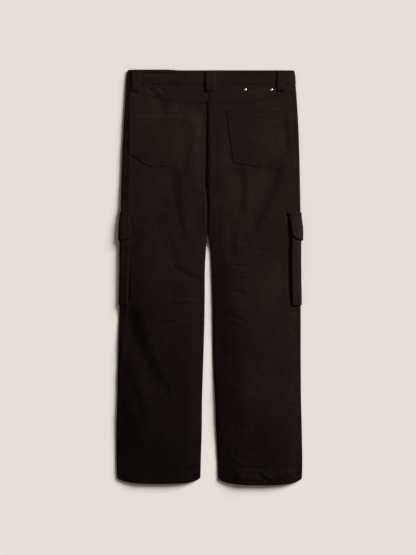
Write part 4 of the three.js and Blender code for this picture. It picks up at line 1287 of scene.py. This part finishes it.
class Finish:
    """A material while its nodes are put together. Its textures lie in the object's own space."""

    def __init__(self, name):
        self.material = bpy.data.materials.new(name)
        self.material.use_nodes = True
        self.nodes = self.material.node_tree.nodes
        self.links = self.material.node_tree.links
        self.place = self.nodes.new("ShaderNodeTexCoord").outputs["Object"]

    def feed(self, inputs, values):
        """Links each value that is a socket to the input of that key, and sets the others."""
        for key, value in values.items():
            if isinstance(value, bpy.types.NodeSocket):
                self.links.new(value, inputs[key])
            else:
                inputs[key].default_value = value

    def node(self, kind, output, values):
        made = self.nodes.new(kind)
        self.feed(made.inputs, values)
        return made.outputs[output]

    def noise(self, scale, detail=2.0, roughness=0.5):
        values = {"Vector": self.place, "Scale": scale, "Detail": detail, "Roughness": roughness}
        return self.node("ShaderNodeTexNoise", "Fac", values)

    def math(self, operation, *values):
        made = self.nodes.new("ShaderNodeMath")
        made.operation = operation
        self.feed(made.inputs, dict(enumerate(values)))
        return made.outputs[0]

    def split(self, vector):
        parts = self.nodes.new("ShaderNodeSeparateXYZ")
        self.links.new(vector, parts.inputs[0])
        return parts.outputs["X"], parts.outputs["Y"]

    def ramp(self, factor, stops):
        made = self.nodes.new("ShaderNodeValToRGB")
        self.links.new(factor, made.inputs["Fac"])
        elements = made.color_ramp.elements
        while len(elements) < len(stops):
            elements.new(0.5)
        for element, (place, color) in zip(elements, stops):
            element.position = place
            element.color = (*color, 1)
        return made.outputs["Color"]

    def done(self, values):
        self.feed(self.nodes["Principled BSDF"].inputs, values)
        return self.material


def twill_material():
    """Cotton twill: steep diagonal ribs of fine yarn, a short nap, a little uneven dye and wear, and painted
    shade that darkens its colour towards the lower left, away from the light.
    """
    twill = Finish("twill")
    uv = twill.nodes.new("ShaderNodeUVMap")
    uv.uv_map = "cloth"
    across, down = twill.split(uv.outputs["UV"])
    rib_run = twill.math("MULTIPLY_ADD", down, 0.55, across)
    yarn_run = twill.math("MULTIPLY_ADD", across, -0.7, down)
    rib, yarn = (
        twill.math("SINE", twill.math("MULTIPLY", run, 2 * math.pi / period))
        for run, period in ((rib_run, RIB_PERIOD), (yarn_run, YARN_PERIOD))
    )
    weave = twill.math("MULTIPLY_ADD", yarn, 0.35, rib)
    fuzz, slub = twill.noise(2600, 3), twill.noise(420, 3)
    height = twill.math("MULTIPLY_ADD", slub, 0.9, twill.math("MULTIPLY_ADD", weave, 0.3, fuzz))
    bump = twill.node("ShaderNodeBump", "Normal", {"Strength": 0.5, "Distance": 0.00022, "Height": height})

    dye, mottle = twill.noise(9, 4, 0.6), twill.noise(65, 4, 0.65)
    shade = twill.math("MULTIPLY_ADD", mottle, 0.6, dye)
    dark, light = (tuple(channel * factor for channel in TWILL_TINT) for factor in (0.72, 1.3))
    color = twill.ramp(shade, [(0.45, dark), (0.8, TWILL_TINT), (1.0, light)])

    # Painted shade: the colour is multiplied down towards the lower left and kept up towards the upper right,
    # where the light comes from.
    toward_light = twill.math("ADD", *twill.split(twill.place))
    reach = {"Value": toward_light, "From Min": -PAINTED_SHADE_REACH, "From Max": PAINTED_SHADE_REACH}
    way = twill.node("ShaderNodeMapRange", "Result", reach)
    painted_shade_color = twill.nodes.new("ShaderNodeMix")
    painted_shade_color.data_type = "RGBA"
    painted_shade_color.blend_type = "MULTIPLY"
    depth = twill.ramp(way, [(place, (left, left, left)) for place, left in PAINTED_SHADE_ALONG])
    twill.feed(painted_shade_color.inputs, {0: 1, 6: color, 7: depth})
    return twill.done(
        {
            "Base Color": painted_shade_color.outputs[2],
            "Normal": bump,
            "Roughness": 0.85,
            "Specular IOR Level": 0.03,
            "Sheen Weight": 0.012,
            "Sheen Roughness": 0.5,
            "Sheen Tint": (0.9, 0.78, 0.7, 1),
        }
    )


def grained_material(name, grain, stops, values):
    """A material whose colour runs between stops in a grain of (scale, detail)."""
    finish = Finish(name)
    return finish.done({"Base Color": finish.ramp(finish.noise(*grain), stops), **values})


def metal_material():
    metal = Finish("stud_metal")
    wear = metal.noise(900, 3)
    color = metal.ramp(wear, [(0.3, (0.62, 0.6, 0.56)), (0.7, (0.86, 0.84, 0.8))])
    rough = metal.node("ShaderNodeMapRange", "Result", {"Value": wear, "To Min": 0.16, "To Max": 0.3})
    return metal.done({"Base Color": color, "Roughness": rough, "Metallic": 1})


TWILL_FINISH = twill_material()
THREAD_FINISH = grained_material(
    "thread",
    (1800, 2.0),
    [(0.3, (0.003, 0.002, 0.0017)), (0.75, (0.006, 0.004, 0.0034))],
    {"Roughness": 0.7, "Specular IOR Level": 0.05},
)
METAL_FINISH = metal_material()
BUTTON_FINISH = grained_material(
    "button_resin",
    (260, 4),
    [(0.3, (0.008, 0.006, 0.005)), (0.7, (0.02, 0.015, 0.012))],
    {"Roughness": 0.42},
)


def dress(made, slot, finish, *nodes):
    """Makes a piece ride with the pants, stand for its solids and take its finish."""
    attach(made, "root")
    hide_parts(*nodes)
    made.data.materials.clear()
    made.data.materials.append(finish)
    return made


def make_garment():
    made = {}
    for side in SIDES:
        name = side.name
        made["back_" + name] = make_back(side)
        made["yoke_" + name] = make_yoke(side)
        made["front_" + name] = make_front(side)
        made["back_pocket_" + name] = make_patch_pocket(side)
        made["cargo_pocket_" + name] = make_cargo_pocket(side)
        made["cargo_flap_" + name] = make_cargo_flap(side)
        made["cargo_gusset_" + name] = make_gusset(side)
        made["waistband_front_" + name] = make_waistband_front(side)
        made["loop_front_" + name] = make_front_loop(side)
    made["waistband_back"] = make_waistband_back()
    for name, x, width, rise in BACK_LOOPS:
        made["loop_back_" + name] = make_back_loop(name, x, width, rise)
    made["fly_placket"] = make_fly()
    for node, piece in made.items():
        dress(piece, "twill", TWILL_FINISH, node)
    for node, x, drop in STUDS:
        dress(make_stud(node, x, drop), "stud", METAL_FINISH, node)
    dress(make_button(), "button", BUTTON_FINISH, "waist_button")
    return made


# Stage
FLOOR = {"reach": 4000, "level": -0.4, "color": (0.8, 0.765, 0.735)}
SUN = {"from": (1.15, 0.85, 0.73), "energy": 5.6, "angle": 29}
STUDIO = {"color": (1, 0.87, 0.74, 1), "strength": 0.18}
SCALE = 2.615  # millimetres of floor for one pixel of the frame
FRAME_HEIGHT = 555 * SCALE
CAMERA_X = -3.7
CAMERA_HEIGHT = 3000
SENSOR = 36


def make_stage():
    reach, level = FLOOR["reach"], FLOOR["level"]
    corners = [(x, y, level) for x, y in ((-reach, -reach), (reach, -reach), (reach, reach), (-reach, reach))]
    floor = mesh_object("floor", corners, [(0, 1, 2, 3)], smooth_faces=False)
    low, high = (tuple(channel * factor for channel in FLOOR["color"]) for factor in (0.985, 1.015))
    flat = {"Roughness": 1, "Specular IOR Level": 0}
    floor.data.materials.append(grained_material("floor_paper", (1.2, 2.0), [(0.3, low), (0.7, high)], flat))


def make_lights():
    world = bpy.data.worlds.new("studio")
    world.use_nodes = True
    inputs = world.node_tree.nodes["Background"].inputs
    inputs["Color"].default_value = STUDIO["color"]
    inputs["Strength"].default_value = STUDIO["strength"]
    bpy.context.scene.world = world
    data = bpy.data.lights.new("sun", "SUN")
    data.energy = SUN["energy"]
    data.angle = math.radians(SUN["angle"])
    sun = bpy.data.objects.new("sun", data)
    sun.rotation_euler = (-Vector(SUN["from"])).to_track_quat("-Z", "Y").to_euler()
    bpy.context.scene.collection.objects.link(sun)


def make_camera():
    data = bpy.data.cameras.new("camera")
    data.sensor_width = SENSOR
    data.lens = SENSOR * CAMERA_HEIGHT / FRAME_HEIGHT
    data.clip_end = 20
    camera = bpy.data.objects.new("camera", data)
    camera.location = (CAMERA_X * MM, 0, CAMERA_HEIGHT * MM)
    bpy.context.scene.collection.objects.link(camera)
    bpy.context.scene.camera = camera


def make_look():
    settings = bpy.context.scene.view_settings
    settings.view_transform = "Standard"
    settings.look = "None"


garment = make_garment()
stitching = sew_all(garment)
make_stage()
make_lights()
make_camera()
make_look()
